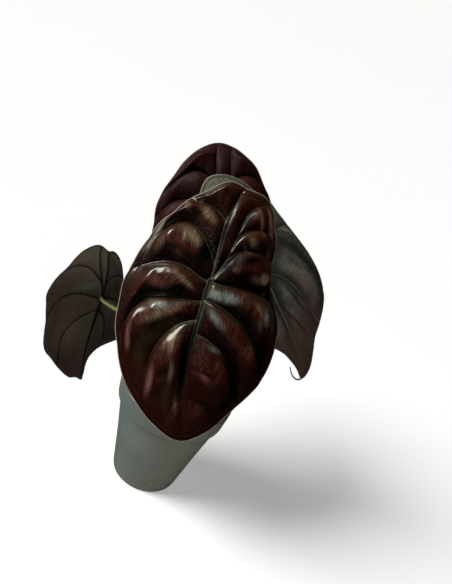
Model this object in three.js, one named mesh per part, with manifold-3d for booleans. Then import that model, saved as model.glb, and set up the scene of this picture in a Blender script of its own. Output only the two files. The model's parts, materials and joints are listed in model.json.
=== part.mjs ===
// A young red secret alocasia in its nursery pot: four quilted, peltate leaves on arching petioles.
// Millimetres, +Z up. The origin is the centre of the pot's flat underside, and the viewer is at -Y.

import * as THREE from "three";
import { mergeVertices } from "three/addons/utils/BufferGeometryUtils.js";
import Module from "manifold-3d";

const wasm = await Module();
wasm.setup();

// Driving dimensions of the pot
const potHeight = 86;
const rimRadius = 43.2;
const baseRadius = 26.2;
const potWall = 1.2;
const bandHeight = 16;
const bandStep = 2.2;
const bandFlare = 1.6;
const baseFloor = 1.6;
const drainHoles = 6;
const drainRadius = 3;
const drainCircle = 17;
const drainSides = 16;
const potSides = 64;

// Driving dimensions of the soil and the crown
const soilTop = 70;
const soilLumps = 46;
const soilSides = 48;
const crownRadius = 11;
const crownBottom = 48;
const crownTop = 86;
const crownPlugRadius = 7;
const crownSides = 24;

// Driving dimensions of every leaf
const bladeThickness = 0.8;
const ribThickness = 0.7;
const ribSteps = 8;
const trunkSteps = 5;
const fanSteps = 5;
const midribSpacing = 2.6;
const foldRound = 5;
// Below 1, the quilting's crest lies nearer the rib on the lobes' side
const crestSkew = 0.72;
// How much of the quilting falls away towards the leaf's edge, and over which share of the ribs
const rimFall = 0.85;
const rimFallStart = 0.68;
const rimFallEnd = 0.95;
// How much of it falls away towards the tip, and between which distances from the pole
const tipFall = 0.85;
const tipFallStart = 50;
const tipFallEnd = 88;
const petioleSides = 8;
const petioleSteps = 16;
const petioleTipRadius = 1.15;
const petioleBaseRadius = 3.1;
const dripRadius = 0.8;
const dripEndRadius = 0.55;
const dripSteps = 14;
const dripSides = 6;

// Clearances between pieces that touch, and between a petiole and its blade
const gap = 0.3;
const seatGap = 0.45;

// Each leaf is drawn flat, in millimetres, about the point where its petiole meets it: x to the
// right, y towards the lobes and -y towards the tip, looking at the upper face.
// margin: [angle from the tip towards +x in degrees, radius] round the leaf.
// A rib is [share of its parent's length where it starts, two handles, angle where it ends].
// dripTip: the route of the thread that the tip ends in.
// bend: curvatures in 1/mm, along the leaf (tip, lobe) and across it (left, right). The left half may
// also fold up about the midrib, by degrees from the pole to the tip, and the midrib may lean.
const leaves = {
  front: {
    pole: [-8, -15, 184],
    aim: [0.207, -0.477, -0.856],
    face: [0.02, -0.87, 0.5],
    bend: { tip: 0.002, lobe: 0.004, left: 0.006, right: 0.01, rightMore: 0.012, rightAt: 8, rightOver: 26 },
    quilt: 0.27,
    quiltMost: 7,
    margin: [
      [0, 109], [9, 102.5], [20, 90], [30, 83], [40, 77.5], [50, 70.5], [61, 63.5], [72, 60.5], [83, 58.5],
      [94, 54], [104, 50], [113, 50.5], [124, 52], [134, 56], [142, 59], [149, 65], [157, 70], [168, 68.5],
      [180, 69.5], [-167, 61.5], [-154, 57.5], [-142, 53], [-131, 52.5], [-112, 51], [-94, 53.5], [-80, 58.5],
      [-67, 63], [-54, 71], [-42, 78], [-30, 88], [-21, 94.5], [-11, 102.5],
    ],
    midrib: [[-4.8, -39.5], [-6.7, -75], 2.4],
    rightTrunk: [[18, 28], [4.5, 52], 152.7],
    leftTrunk: [[2.4, 23.5], [-1.5, 46], 170.5],
    rightRibs: [
      [0.72, [8, -79], [17, -81], 16],
      [0.31, [22.6, -39], [34.5, -74], 23.4],
      [0.11, [9.6, -13], [39, -25], 39.4],
      [0, [13, -5.2], [41, 7.6], 76.6],
    ],
    rightTrunkRibs: [[0.17, [15.7, 29], [29.7, 26.5], 117.5], [0.36, [15, 37.5], [25, 46.5], 131]],
    leftTrunkRibs: [[0.15, [-26, 62], [-38, 18], -113.5], [0.59, [-8, 54], [-19, 50], -155.5]],
    leftRibs: [
      [0, [-11, -3], [-18, 21.6], -85.6],
      [0.12, [-34, -17], [-50, -13], -44.2],
      [0.235, [-4.8, -24.4], [-42, -37.7], -15.3],
      [0.74, [-8, -80], [-12, -92], -6],
    ],
  },
  right: {
    pole: [20.6, 22, 190.8],
    aim: [0.625, 0.03, -0.778],
    face: [0.4, -0.8, 0.4],
    bend: { tip: 0.004, lobe: 0.005, left: 0.014, right: 0.012 },
    quilt: 0.095,
    quiltMost: 2.9,
    margin: [
      [7, 122], [12, 120], [17, 104], [22, 92], [30, 88], [38, 85], [45, 80], [53, 70], [61, 60], [70, 51],
      [84, 42.5], [98, 38], [112, 36.5], [126, 37.5], [140, 41], [151, 47], [163, 53], [172, 62], [-180, 69],
      [-171, 73], [-163, 69], [-150, 58], [-135, 48], [-118, 43], [-100, 41], [-80, 42], [-60, 46], [-40, 53],
      [-22, 60], [-8, 66], [0, 77], [4, 92], [6, 106],
    ],
    midrib: [[3.2, -41], [14.4, -77], 7],
    rightTrunk: [[5, 16], [10, 36], 166],
    leftTrunk: [[-6, 16], [-14, 40], -167],
    rightRibs: [
      [0.25, [12, -44], [24, -66], 19],
      [0.04, [25.6, -13.8], [30.1, -62.7], 29.4],
      [0, [21.5, 33.8], [38.7, -17.2], 45.9],
    ],
    rightTrunkRibs: [[0.4, [16, 24], [24, 22], 122]],
    leftTrunkRibs: [[0.4, [-16, 26], [-30, 30], -128]],
    leftRibs: [
      [0, [-14, 12], [-32, 8], -72],
      [0.04, [-12, -12], [-26, -24], -38],
      [0.25, [-6, -42], [-6, -56], -4],
    ],
    dripTip: [[19, -113], [17.4, -120.3], [14, -121], [9.9, -117], [6.6, -110], [5, -103], [4.4, -96.5]],
  },
  back: {
    pole: [-20, 46, 185.3],
    aim: [0.33, -0.4, -0.85],
    face: [0.05, -0.9, 0.42],
    bend: { tip: 0.002, lobe: 0.004, left: 0.006, right: 0.006 },
    quilt: 0.15,
    quiltMost: 4.6,
    margin: [
      [0, 97], [10, 91], [20, 85], [31, 77], [43, 69], [57, 60], [72, 53.5], [88, 49], [104, 48], [118, 50],
      [130, 53.5], [143, 58], [154, 65], [163, 69], [172, 73], [-179, 74.5], [-169, 70.5], [-157, 63.5],
      [-145, 56.5], [-130, 52.5], [-117, 49.5], [-102, 46], [-88, 46.5], [-72, 51], [-57, 59], [-43, 68],
      [-31, 76.5], [-20, 84.5], [-10, 91],
    ],
    midrib: [[0, -35], [0, -70], 0],
    rightTrunk: [[17, 22], [8, 54], 172],
    leftTrunk: [[5, 25], [-3, 47], -179],
    rightRibs: [
      [0.62, [10, -74], [17, -82], 10],
      [0.3, [22, -36], [32, -62], 20],
      [0.12, [18, -16], [42, -32], 45],
      [0, [22, 2], [44, 4], 68],
    ],
    rightTrunkRibs: [[0.22, [16, 19], [34, 22], 108], [0.58, [17, 50], [25, 55], 138]],
    leftTrunkRibs: [[0.31, [-15, 28], [-32, 36], -103.5], [0.6, [-16, 53], [-19, 57], -125]],
    leftRibs: [
      [0, [-22, 2], [-44, 4], -68],
      [0.12, [-18, -16], [-42, -32], -45],
      [0.3, [-22, -36], [-32, -62], -20],
      [0.62, [-10, -74], [-17, -82], -10],
    ],
  },
  left: {
    pole: [-78, 12, 123],
    aim: [0.167, 0.06, -0.984],
    face: [-0.45, 0.85, 0.1],
    bend: { tip: 0.003, lobe: 0.004, left: 0.004, right: 0.006, fold: [30, 60, 40, 60], lean: 0.17 },
    quilt: 0.07,
    quiltMost: 2.2,
    margin: [
      [8, 72.5], [12, 71], [16, 72], [24, 67.5], [34, 61.5], [39, 60], [44, 57], [54, 49], [65, 43],
      [83, 39.5], [95, 39.5], [110, 38], [124, 37], [137, 37], [149, 40], [160, 43.5], [173, 45.5], [-178, 40],
      [-170, 38], [-161, 34], [-150, 29], [-136, 24], [-118, 20.5], [-90, 20.5], [-63, 27], [-50, 37],
      [-40, 46], [-31, 50.5], [-24, 51.5], [-16, 49.5], [-8, 49], [-3, 50.5], [1, 54], [4, 61], [6, 69],
    ],
    midrib: [[3.5, -23], [12.7, -52], 8],
    rightTrunk: [[-1, 10], [6, 32], 175],
    leftTrunk: [[-3, 12], [-2, 27], -178],
    rightRibs: [
      [0.14, [38.8, -26], [26.1, -50.7], 27],
      [0, [0.7, -6.7], [27, 21.2], 67.8],
    ],
    rightTrunkRibs: [[0.3, [6.5, 24], [16, 35], 127]],
    leftTrunkRibs: [[0.3, [-7, 17], [-13, 16], -124]],
    leftRibs: [
      [0, [-10, -4], [-18, -10], -58],
      [0.14, [-10, -28], [-6, -44], 1],
    ],
  },
};

// A petiole runs from its place on the crown to its blade's underside, through two handles.
const petioles = {
  front: { from: [-0.5, -6.4, 76], handles: [[-6, -11, 125], [-9, -8, 170]], reach: 6 },
  right: { from: [6.2, -0.5, 76], handles: [[11, 10, 120], [12, 26, 165]], reach: 9 },
  back: { from: [-1.5, 6.4, 76], handles: [[-13, 31, 108], [-22, 62, 158]], reach: 9 },
  left: { from: [-6.4, 0.3, 76], handles: [[-12, 2, 112], [-40, 5, 119]], reach: 4 },
};

const radians = THREE.MathUtils.degToRad;
const smoothstep = THREE.MathUtils.smoothstep;

// Blades

function bladeFrame(leaf) {
  const towardsLobes = new THREE.Vector3(...leaf.aim).normalize().negate();
  const faceHint = new THREE.Vector3(...leaf.face);
  const normal = faceHint.addScaledVector(towardsLobes, -faceHint.dot(towardsLobes)).normalize();
  const across = new THREE.Vector3().crossVectors(towardsLobes, normal);
  return new THREE.Matrix4().makeBasis(across, towardsLobes, normal).setPosition(...leaf.pole);
}

// Where a point of the flat leaf lies once the blade is arched, height being above the mid-surface.
function bentPoint(leaf, flatX, y, height) {
  const bend = leaf.bend;
  const hinge = -(bend.lean || 0) * Math.min(y, 0);
  const x = flatX - hinge;
  let across = x < 0 ? bend.left : bend.right;
  if (x > 0 && bend.rightMore) {
    across += bend.rightMore * Math.exp(-(((y - bend.rightAt) / bend.rightOver) ** 2));
  }
  const acrossRadius = 1 / across;
  let sideways = (acrossRadius + height) * Math.sin(x * across);
  let up = (acrossRadius + height) * Math.cos(x * across) - acrossRadius;
  if (x < 0 && bend.fold) {
    const [leastFold, mostFold, foldStart, foldEnd] = bend.fold;
    const share = smoothstep(-y, foldStart, foldEnd);
    const crease = smoothstep(-x, 0, foldRound);
    const angle = radians(leastFold + (mostFold - leastFold) * share) * crease;
    const flatSideways = sideways;
    sideways = flatSideways * Math.cos(angle) + up * Math.sin(angle);
    up = up * Math.cos(angle) - flatSideways * Math.sin(angle);
  }
  const along = y < 0 ? bend.tip : bend.lobe;
  const alongRadius = 1 / along;
  const lengthways = (alongRadius + up) * Math.sin(y * along);
  const drop = (alongRadius + up) * Math.cos(y * along) - alongRadius;
  return new THREE.Vector3(sideways + hinge, lengthways, drop);
}

// The leaf's edge at an angle from its tip, by a smooth curve through the listed radii.
function marginPoint(leaf, degrees) {
  const points = leaf.margin.map(([angle, radius]) => [(angle + 360) % 360, radius]);
  points.sort((one, other) => one[0] - other[0]);
  const count = points.length;
  const angle = (degrees + 360) % 360;
  let next = points.findIndex((point) => point[0] > angle);
  if (next < 0) next = count;
  const at = (index) => {
    const turn = Math.floor(index / count);
    const [pointAngle, radius] = points[((index % count) + count) % count];
    return [pointAngle + 360 * turn, radius];
  };
  const [before, start, end, after] = [at(next - 2), at(next - 1), at(next), at(next + 1)];
  const span = end[0] - start[0];
  const startSlope = ((end[1] - before[1]) / (end[0] - before[0])) * span;
  const endSlope = ((after[1] - start[1]) / (after[0] - start[0])) * span;
  const share = (angle - start[0]) / span;
  const square = share * share;
  const cube = square * share;
  const radius =
    (2 * cube - 3 * square + 1) * start[1] +
    (cube - 2 * square + share) * startSlope +
    (3 * square - 2 * cube) * end[1] +
    (cube - square) * endSlope;
  return new THREE.Vector3(radius * Math.sin(radians(angle)), -radius * Math.cos(radians(angle)), 0);
}

// A rib in the flat leaf. Its z is how far it stands out below the blade, which fades to the edge.
function ribCurve(leaf, start, firstHandle, secondHandle, endAngle) {
  const end = marginPoint(leaf, endAngle);
  const handles = [
    new THREE.Vector3(...firstHandle, start.z * 0.7),
    new THREE.Vector3(...secondHandle, start.z * 0.4),
  ];
  return new THREE.CubicBezierCurve3(start, ...handles, end);
}

// A main rib as a list of points, with the side ribs' starting shares among them.
function ribNodes(curve, starts, stepsBetween) {
  const shares = [...new Set([0, ...starts])].sort((one, other) => one - other);
  const nodes = [];
  const indexOf = new Map();
  shares.forEach((share, index) => {
    indexOf.set(share, nodes.length);
    const last = index === shares.length - 1;
    const end = last ? 1 : shares[index + 1];
    const steps = last ? ribSteps : stepsBetween(share, end);
    for (let step = 0; step < steps; step++) {
      nodes.push(curve.getPoint(share + ((end - share) * step) / steps));
    }
  });
  nodes.push(curve.getPoint(1));
  return { nodes, indexOf };
}

// The cells between neighbouring ribs, each with its two ribs and the stretch that they start from.
function bladeCells(leaf) {
  const origin = new THREE.Vector3(0, 0, ribThickness);
  const midribCurve = ribCurve(leaf, origin, ...leaf.midrib);
  const midribLength = midribCurve.getLength();
  const midribSteps = (from, to) => Math.max(2, Math.round(((to - from) * midribLength) / midribSpacing));
  const midribStarts = [...leaf.rightRibs, ...leaf.leftRibs].map((rib) => rib[0]);
  const midrib = ribNodes(midribCurve, midribStarts, midribSteps);
  const trunk = (spec, ribs) => {
    const starts = ribs.map((rib) => rib[0]);
    return ribNodes(ribCurve(leaf, origin, ...spec), starts, () => trunkSteps);
  };
  const rightTrunk = trunk(leaf.rightTrunk, leaf.rightTrunkRibs);
  const leftTrunk = trunk(leaf.leftTrunk, leaf.leftTrunkRibs);

  const sideRib = (parent, rib) => {
    const [share, firstHandle, secondHandle, endAngle] = rib;
    const index = parent.indexOf.get(share);
    const curve = ribCurve(leaf, parent.nodes[index], firstHandle, secondHandle, endAngle);
    return { parent, index, endAngle, nodes: curve.getPoints(ribSteps) };
  };
  const tail = (parent, endAngle) => {
    const index = parent.nodes.length - 1 - ribSteps;
    return { parent, index, endAngle, nodes: parent.nodes.slice(index) };
  };
  const whole = (parent, endAngle) => ({ parent, index: 0, endAngle, nodes: parent.nodes });

  const tipAngle = leaf.midrib[2];
  const rightEnd = leaf.rightTrunk[2];
  const leftEnd = leaf.leftTrunk[2];
  const fans = [
    [tail(midrib, tipAngle), ...leaf.rightRibs.map((rib) => sideRib(midrib, rib))],
    [...leaf.rightTrunkRibs.map((rib) => sideRib(rightTrunk, rib)), tail(rightTrunk, rightEnd)],
    [whole(rightTrunk, rightEnd), whole(leftTrunk, leftEnd)],
    [tail(leftTrunk, leftEnd), ...leaf.leftTrunkRibs.map((rib) => sideRib(leftTrunk, rib)).reverse()],
    [...leaf.leftRibs.map((rib) => sideRib(midrib, rib)), tail(midrib, tipAngle)],
  ];
  const cells = [];
  const addCell = (first, second, side) => {
    let base = [first.nodes[0]];
    if (first.parent === second.parent && first.index !== second.index) {
      const [low, high] = [Math.min(first.index, second.index), Math.max(first.index, second.index)];
      base = first.parent.nodes.slice(low, high + 1);
      if (first.index > second.index) base.reverse();
    }
    cells.push({ first, second, side, base });
  };
  const addBridge = (first, second, side, parent, index) => {
    const base = parent.nodes.slice(0, index + 1);
    cells.push({ first, second, side, base: first.index === 0 ? base : base.reverse() });
  };
  fans.forEach((fan, number) => {
    const side = number < 3 ? 1 : -1;
    fan.slice(1).forEach((rib, index) => addCell(fan[index], rib, side));
  });
  const [rightBase, rightFirst] = [fans[0].at(-1), fans[1][0]];
  addBridge(rightBase, rightFirst, 1, rightTrunk, rightFirst.index);
  const [leftFirst, leftBase] = [fans[3].at(-1), fans[4][0]];
  addBridge(leftFirst, leftBase, -1, leftTrunk, leftFirst.index);
  return cells;
}

// A cell's flat grid, blended from its ribs, its base and the leaf's edge, with its quilting.
function cellGrid(leaf, cell) {
  const { first, second, side, base } = cell;
  const isFan = base.length === 1;
  const rows = first.nodes.length - 1;
  const columns = isFan ? fanSteps : base.length - 1;
  let sweep = (second.endAngle - first.endAngle) % 360;
  if (sweep <= 0) sweep += 360;
  const edge = [];
  for (let column = 0; column <= columns; column++) {
    edge.push(marginPoint(leaf, first.endAngle + (sweep * column) / columns));
  }
  const grid = [];
  for (let row = 0; row <= rows; row++) {
    const u = row / rows;
    const width = first.nodes[row].distanceTo(second.nodes[row]);
    const puff = Math.min(leaf.quiltMost, leaf.quilt * width);
    const lengthways = (1 - (1 - u) ** 5) * (1 - rimFall * smoothstep(u, rimFallStart, rimFallEnd));
    grid.push([]);
    for (let column = 0; column <= columns; column++) {
      const v = column / columns;
      const start = isFan ? base[0] : base[column];
      const point = new THREE.Vector3()
        .addScaledVector(first.nodes[row], 1 - v)
        .addScaledVector(second.nodes[row], v)
        .addScaledVector(start, 1 - u)
        .addScaledVector(edge[column], u)
        .addScaledVector(first.nodes[0], -(1 - u) * (1 - v))
        .addScaledVector(second.nodes[0], -(1 - u) * v)
        .addScaledVector(edge[0], -u * (1 - v))
        .addScaledVector(edge[columns], -u * v);
      const onRib = column === 0 || column === columns || row === 0;
      const skewed = side < 0 ? v ** crestSkew : 1 - (1 - v) ** crestSkew;
      const tipward = 1 - tipFall * smoothstep(-point.y, tipFallStart, tipFallEnd);
      const height = onRib ? 0 : puff * lengthways * tipward * Math.sin(Math.PI * skewed);
      grid[row].push({ point, height, rib: onRib ? point.z : 0 });
    }
  }
  return grid;
}

function bladeGeometry(leaf) {
  const positions = [];
  const toPart = bladeFrame(leaf);
  const place = (node, side) => {
    const half = (side * bladeThickness) / 2;
    const height = node.height + half - (side < 0 ? node.rib : 0);
    return bentPoint(leaf, node.point.x, node.point.y, height).applyMatrix4(toPart);
  };
  const addTriangle = (one, two, three) => {
    if (one.distanceTo(two) < 1e-4 || two.distanceTo(three) < 1e-4 || three.distanceTo(one) < 1e-4) return;
    positions.push(...one.toArray(), ...two.toArray(), ...three.toArray());
  };
  const addQuad = (one, two, three, four) => {
    addTriangle(one, two, three);
    addTriangle(one, three, four);
  };
  bladeCells(leaf).forEach((cell) => {
    const grid = cellGrid(leaf, cell);
    const upper = grid.map((row) => row.map((node) => place(node, 1)));
    const lower = grid.map((row) => row.map((node) => place(node, -1)));
    const rows = grid.length - 1;
    const columns = grid[0].length - 1;
    for (let row = 0; row < rows; row++) {
      for (let column = 0; column < columns; column++) {
        const [nearUp, nearLow] = [upper[row], lower[row]];
        const [farUp, farLow] = [upper[row + 1], lower[row + 1]];
        addQuad(nearUp[column], farUp[column], farUp[column + 1], nearUp[column + 1]);
        addQuad(farLow[column], nearLow[column], nearLow[column + 1], farLow[column + 1]);
      }
    }
    for (let column = 0; column < columns; column++) {
      const [topEdge, lowEdge] = [upper[rows], lower[rows]];
      addQuad(topEdge[column], lowEdge[column], lowEdge[column + 1], topEdge[column + 1]);
    }
  });
  const blade = closedGeometry(positions);
  if (!leaf.dripTip) return blade;
  const route = leaf.dripTip.map(([x, y]) => bentPoint(leaf, x, y, 0).applyMatrix4(toPart));
  const routeCurve = new THREE.CatmullRomCurve3(route);
  const thread = taperedTube(routeCurve, dripRadius, dripEndRadius, dripSteps, dripSides);
  return fromSolid(toSolid(blade).add(toSolid(thread)));
}

// Geometry helpers

function closedGeometry(positions) {
  const geometry = new THREE.BufferGeometry();
  geometry.setAttribute("position", new THREE.Float32BufferAttribute(positions, 3));
  return mergeVertices(geometry, 1e-3);
}

function bareGeometry(geometry) {
  geometry.deleteAttribute("normal");
  geometry.deleteAttribute("uv");
  return mergeVertices(geometry, 1e-4);
}

function toSolid(geometry) {
  const merged = bareGeometry(geometry);
  const vertProperties = new Float32Array(merged.attributes.position.array);
  const triVerts = new Uint32Array(merged.index.array);
  return new wasm.Manifold(new wasm.Mesh({ numProp: 3, vertProperties, triVerts }));
}

function fromSolid(solid) {
  const mesh = solid.getMesh();
  const geometry = new THREE.BufferGeometry();
  geometry.setAttribute("position", new THREE.Float32BufferAttribute(mesh.vertProperties, 3));
  geometry.setIndex(new THREE.Uint32BufferAttribute(mesh.triVerts, 1));
  return geometry;
}

// A lathe profile of [radius, height] pairs, from the axis at the bottom, turned about +Z.
function turned(profile, sides) {
  const points = profile.map(([radius, height]) => new THREE.Vector2(radius, height));
  const geometry = new THREE.LatheGeometry(points, sides);
  geometry.rotateX(Math.PI / 2);
  return geometry;
}

// A closed round tube along a curve whose radius changes evenly from one end to the other. It may
// start a little way along the curve.
function taperedTube(curve, startRadius, endRadius, steps, sides, startShare = 0) {
  const frames = curve.computeFrenetFrames(steps, false);
  const positions = [];
  const ring = (step) => {
    const centre = curve.getPointAt(Math.max(step / steps, startShare));
    const radius = startRadius + ((endRadius - startRadius) * step) / steps;
    return Array.from({ length: sides }, (_, side) => {
      const angle = (2 * Math.PI * side) / sides;
      return centre
        .clone()
        .addScaledVector(frames.normals[step], radius * Math.cos(angle))
        .addScaledVector(frames.binormals[step], radius * Math.sin(angle));
    });
  };
  const addTriangle = (...corners) => corners.forEach((corner) => positions.push(...corner.toArray()));
  const rings = Array.from({ length: steps + 1 }, (_, step) => ring(step));
  for (let side = 0; side < sides; side++) {
    const next = (side + 1) % sides;
    for (let step = 0; step < steps; step++) {
      const [near, far] = [rings[step], rings[step + 1]];
      addTriangle(near[side], near[next], far[next]);
      addTriangle(near[side], far[next], far[side]);
    }
    addTriangle(curve.getPointAt(startShare), rings[0][next], rings[0][side]);
    addTriangle(curve.getPointAt(1), rings[steps][side], rings[steps][next]);
  }
  return closedGeometry(positions);
}

// Petioles

// The petiole turns into the blade's normal over its last few millimetres and stops a gap below it.
function petioleCurve(name) {
  const leaf = leaves[name];
  const { from, handles, reach } = petioles[name];
  const normal = new THREE.Vector3().setFromMatrixColumn(bladeFrame(leaf), 2);
  const pole = new THREE.Vector3(...leaf.pole);
  const end = pole.clone().addScaledVector(normal, -(bladeThickness / 2 + ribThickness + seatGap));
  const knee = pole.clone().addScaledVector(normal, -reach);
  const start = [from, ...handles].map((point) => new THREE.Vector3(...point));
  return new THREE.CatmullRomCurve3([...start, knee, end], false, "centripetal");
}

function petioleGeometry(name) {
  const curve = petioleCurve(name);
  const startShare = gap / curve.getLength();
  return taperedTube(curve, petioleBaseRadius, petioleTipRadius, petioleSteps, petioleSides, startShare);
}

// Pot

function potGeometry() {
  const bandBottom = potHeight - bandHeight;
  const bandBottomRadius = rimRadius - bandFlare;
  const wallTop = bandBottomRadius - bandStep;
  const bottomRound = 1.4;
  const profile = [
    [0, 0],
    [baseRadius - bottomRound, 0],
    [baseRadius - 0.3, 0.5],
    [baseRadius, bottomRound],
    [wallTop, bandBottom],
    [bandBottomRadius - 0.4, bandBottom + 0.3],
    [bandBottomRadius, bandBottom + 0.9],
    [rimRadius, potHeight - 0.8],
    [rimRadius - 0.5, potHeight],
    [rimRadius - potWall, potHeight],
    [bandBottomRadius - potWall, bandBottom + potWall],
    [wallTop - potWall, bandBottom + 0.4],
    [baseRadius - potWall + 0.3, baseFloor],
    [0, baseFloor],
  ];
  let pot = toSolid(turned(profile, potSides));
  for (let hole = 0; hole < drainHoles; hole++) {
    const angle = (2 * Math.PI * hole) / drainHoles;
    const cutter = new THREE.CylinderGeometry(drainRadius, drainRadius, 4 * baseFloor, drainSides);
    cutter.rotateX(Math.PI / 2);
    cutter.translate(drainCircle * Math.cos(angle), drainCircle * Math.sin(angle), baseFloor / 2);
    pot = pot.subtract(toSolid(cutter));
  }
  return fromSolid(pot);
}

// Soil

// A repeatable random draw between 0 and 1.
function drawer(seed) {
  let state = seed;
  return () => {
    state = (state * 1664525 + 1013904223) % 4294967296;
    return state / 4294967296;
  };
}

function soilWallRadius(height) {
  const wallTop = rimRadius - bandFlare - bandStep;
  const share = height / (potHeight - bandHeight);
  return baseRadius + (wallTop - baseRadius) * share - potWall - 1.5 * gap;
}

function soilGeometry() {
  const bottom = baseFloor + gap;
  const body = turned(
    [[0, bottom], [soilWallRadius(bottom), bottom], [soilWallRadius(soilTop - 1), soilTop - 1],
      [soilWallRadius(soilTop) - 1.5, soilTop], [0, soilTop + 1]],
    soilSides,
  );
  let soil = toSolid(body);
  const draw = drawer(7);
  for (let lump = 0; lump < soilLumps; lump++) {
    const size = 1.6 + 2.2 * draw();
    const reach = (crownRadius + 5) + (soilWallRadius(soilTop) - crownRadius - 9) * Math.sqrt(draw());
    const angle = 2 * Math.PI * draw();
    const bark = new THREE.IcosahedronGeometry(size, 0);
    bark.scale(1, 0.75, 0.6);
    bark.rotateZ(2 * Math.PI * draw());
    bark.translate(reach * Math.cos(angle), reach * Math.sin(angle), soilTop + 0.25 * size);
    soil = soil.add(toSolid(bark));
  }
  const hole = turned(
    [[0, crownBottom - gap], [crownPlugRadius + gap, crownBottom - gap],
      [crownPlugRadius + gap, soilTop + 9], [0, soilTop + 9]],
    crownSides,
  );
  return fromSolid(soil.subtract(toSolid(hole)));
}

// Crown

function crownGeometry() {
  const profile = [
    [0, crownBottom],
    [crownPlugRadius - 1.5, crownBottom],
    [crownPlugRadius, crownBottom + 2],
    [crownPlugRadius, soilTop + 3],
    [crownRadius, soilTop + 7],
    [crownRadius - 0.6, crownTop - 4],
    [crownRadius - 3, crownTop - 1],
    [0, crownTop],
  ];
  let crown = toSolid(turned(profile, crownSides));
  Object.keys(petioles).forEach((name) => {
    const socket = taperedTube(
      petioleCurve(name), petioleBaseRadius + gap, petioleTipRadius + gap, petioleSteps, petioleSides);
    crown = crown.subtract(toSolid(socket));
  });
  return fromSolid(crown);
}

// Assembly

function material(colour, roughness) {
  return new THREE.MeshStandardMaterial({ color: colour, roughness, metalness: 0 });
}

function namedMesh(name, geometry, finish) {
  const mesh = new THREE.Mesh(geometry, finish);
  mesh.name = name;
  return mesh;
}

const plant = new THREE.Group();
plant.add(namedMesh("pot", potGeometry(), material(0x7d8a88, 0.55)));
plant.add(namedMesh("soil", soilGeometry(), material(0x2e2018, 0.95)));
plant.add(namedMesh("crown", crownGeometry(), material(0x6f6a3c, 0.6)));

const bladeFinish = {
  front: material(0x40110d, 0.2),
  right: material(0x45443d, 0.45),
  back: material(0x34101a, 0.35),
  left: material(0x3a312a, 0.65),
};
const petioleFinish = material(0x8a9a5a, 0.5);
Object.keys(leaves).forEach((name) => {
  plant.add(namedMesh(`petiole_${name}`, petioleGeometry(name), petioleFinish));
  plant.add(namedMesh(`blade_${name}`, bladeGeometry(leaves[name]), bladeFinish[name]));
});

export default plant;
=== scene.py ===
import json
import math
import random

import bmesh
import bpy
import numpy as np
from mathutils import Matrix, Vector

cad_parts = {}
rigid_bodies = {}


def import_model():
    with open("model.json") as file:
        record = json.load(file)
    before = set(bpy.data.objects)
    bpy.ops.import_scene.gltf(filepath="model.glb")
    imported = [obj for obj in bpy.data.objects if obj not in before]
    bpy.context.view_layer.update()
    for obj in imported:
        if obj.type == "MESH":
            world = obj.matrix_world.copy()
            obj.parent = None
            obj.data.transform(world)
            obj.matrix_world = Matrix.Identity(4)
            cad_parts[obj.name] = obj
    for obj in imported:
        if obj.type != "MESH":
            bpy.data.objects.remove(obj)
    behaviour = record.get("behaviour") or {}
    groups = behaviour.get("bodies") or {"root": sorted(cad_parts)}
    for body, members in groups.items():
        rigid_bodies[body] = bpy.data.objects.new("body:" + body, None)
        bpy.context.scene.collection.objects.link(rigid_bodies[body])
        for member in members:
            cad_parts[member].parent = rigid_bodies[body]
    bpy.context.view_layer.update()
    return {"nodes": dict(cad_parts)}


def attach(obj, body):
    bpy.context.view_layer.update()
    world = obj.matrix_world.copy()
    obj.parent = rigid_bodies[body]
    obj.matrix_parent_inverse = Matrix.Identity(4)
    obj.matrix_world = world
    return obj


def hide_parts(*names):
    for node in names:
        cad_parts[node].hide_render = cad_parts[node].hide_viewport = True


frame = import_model()
bpy.ops.object.select_all(action="DESELECT")
mm = 0.001
fullTurn = 2 * math.pi
print("frame loaded:", len(frame["nodes"]), "nodes")


# Small helpers


def linear(hexColour):
    values = [int(hexColour[i : i + 2], 16) / 255 for i in (1, 3, 5)]
    return [v / 12.92 if v <= 0.04045 else ((v + 0.055) / 1.055) ** 2.4 for v in values] + [1.0]


# Adds a shader node with its settings and gives one of its outputs. A socket is set to a number or to a hex
# colour, or is linked to another node's output.
def addNode(tree, kind, sockets, output=0, **settings):
    node = tree.nodes.new("ShaderNode" + kind)
    for name, value in settings.items():
        setattr(node, name, value)
    for name, value in sockets.items():
        if isinstance(value, bpy.types.NodeSocket):
            tree.links.new(value, node.inputs[name])
        else:
            node.inputs[name].default_value = linear(value) if isinstance(value, str) else value
    return node.outputs[output] if node.outputs else None


# How much of a finish shows: from least at a pattern's low value to most at its high one, and no more than
# another pattern lets it.
def shareOf(tree, pattern, low, high, least=0.0, most=1.0, where=None):
    limits = {"Value": pattern, "From Min": low, "From Max": high, "To Min": least, "To Max": most}
    share = addNode(tree, "MapRange", limits, interpolation_type="SMOOTHSTEP")
    return share if where is None else addNode(tree, "Math", {0: share, 1: where}, operation="MULTIPLY")


# Lays a colour over what is there, by a number, by a pattern, or by a share that shareOf works out.
def layOver(tree, under, colour, pattern, *limits, **moreLimits):
    share = shareOf(tree, pattern, *limits, **moreLimits) if limits else pattern
    return addNode(tree, "Mix", {0: share, 6: under, 7: colour}, 2, data_type="RGBA")


def startMaterial(name):
    material = bpy.data.materials.new(name)
    material.use_nodes = True
    material.node_tree.nodes.clear()
    return material, material.node_tree


def finishMaterial(material, sockets):
    shader = addNode(material.node_tree, "BsdfPrincipled", sockets)
    addNode(material.node_tree, "OutputMaterial", {"Surface": shader})
    return material


def meshObject(name, points, faces):
    mesh = bpy.data.meshes.new(name)
    mesh.from_pydata(points, [], faces)
    mesh.validate()
    piece = bpy.data.objects.new(name, mesh)
    bpy.context.scene.collection.objects.link(piece)
    return piece


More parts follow.
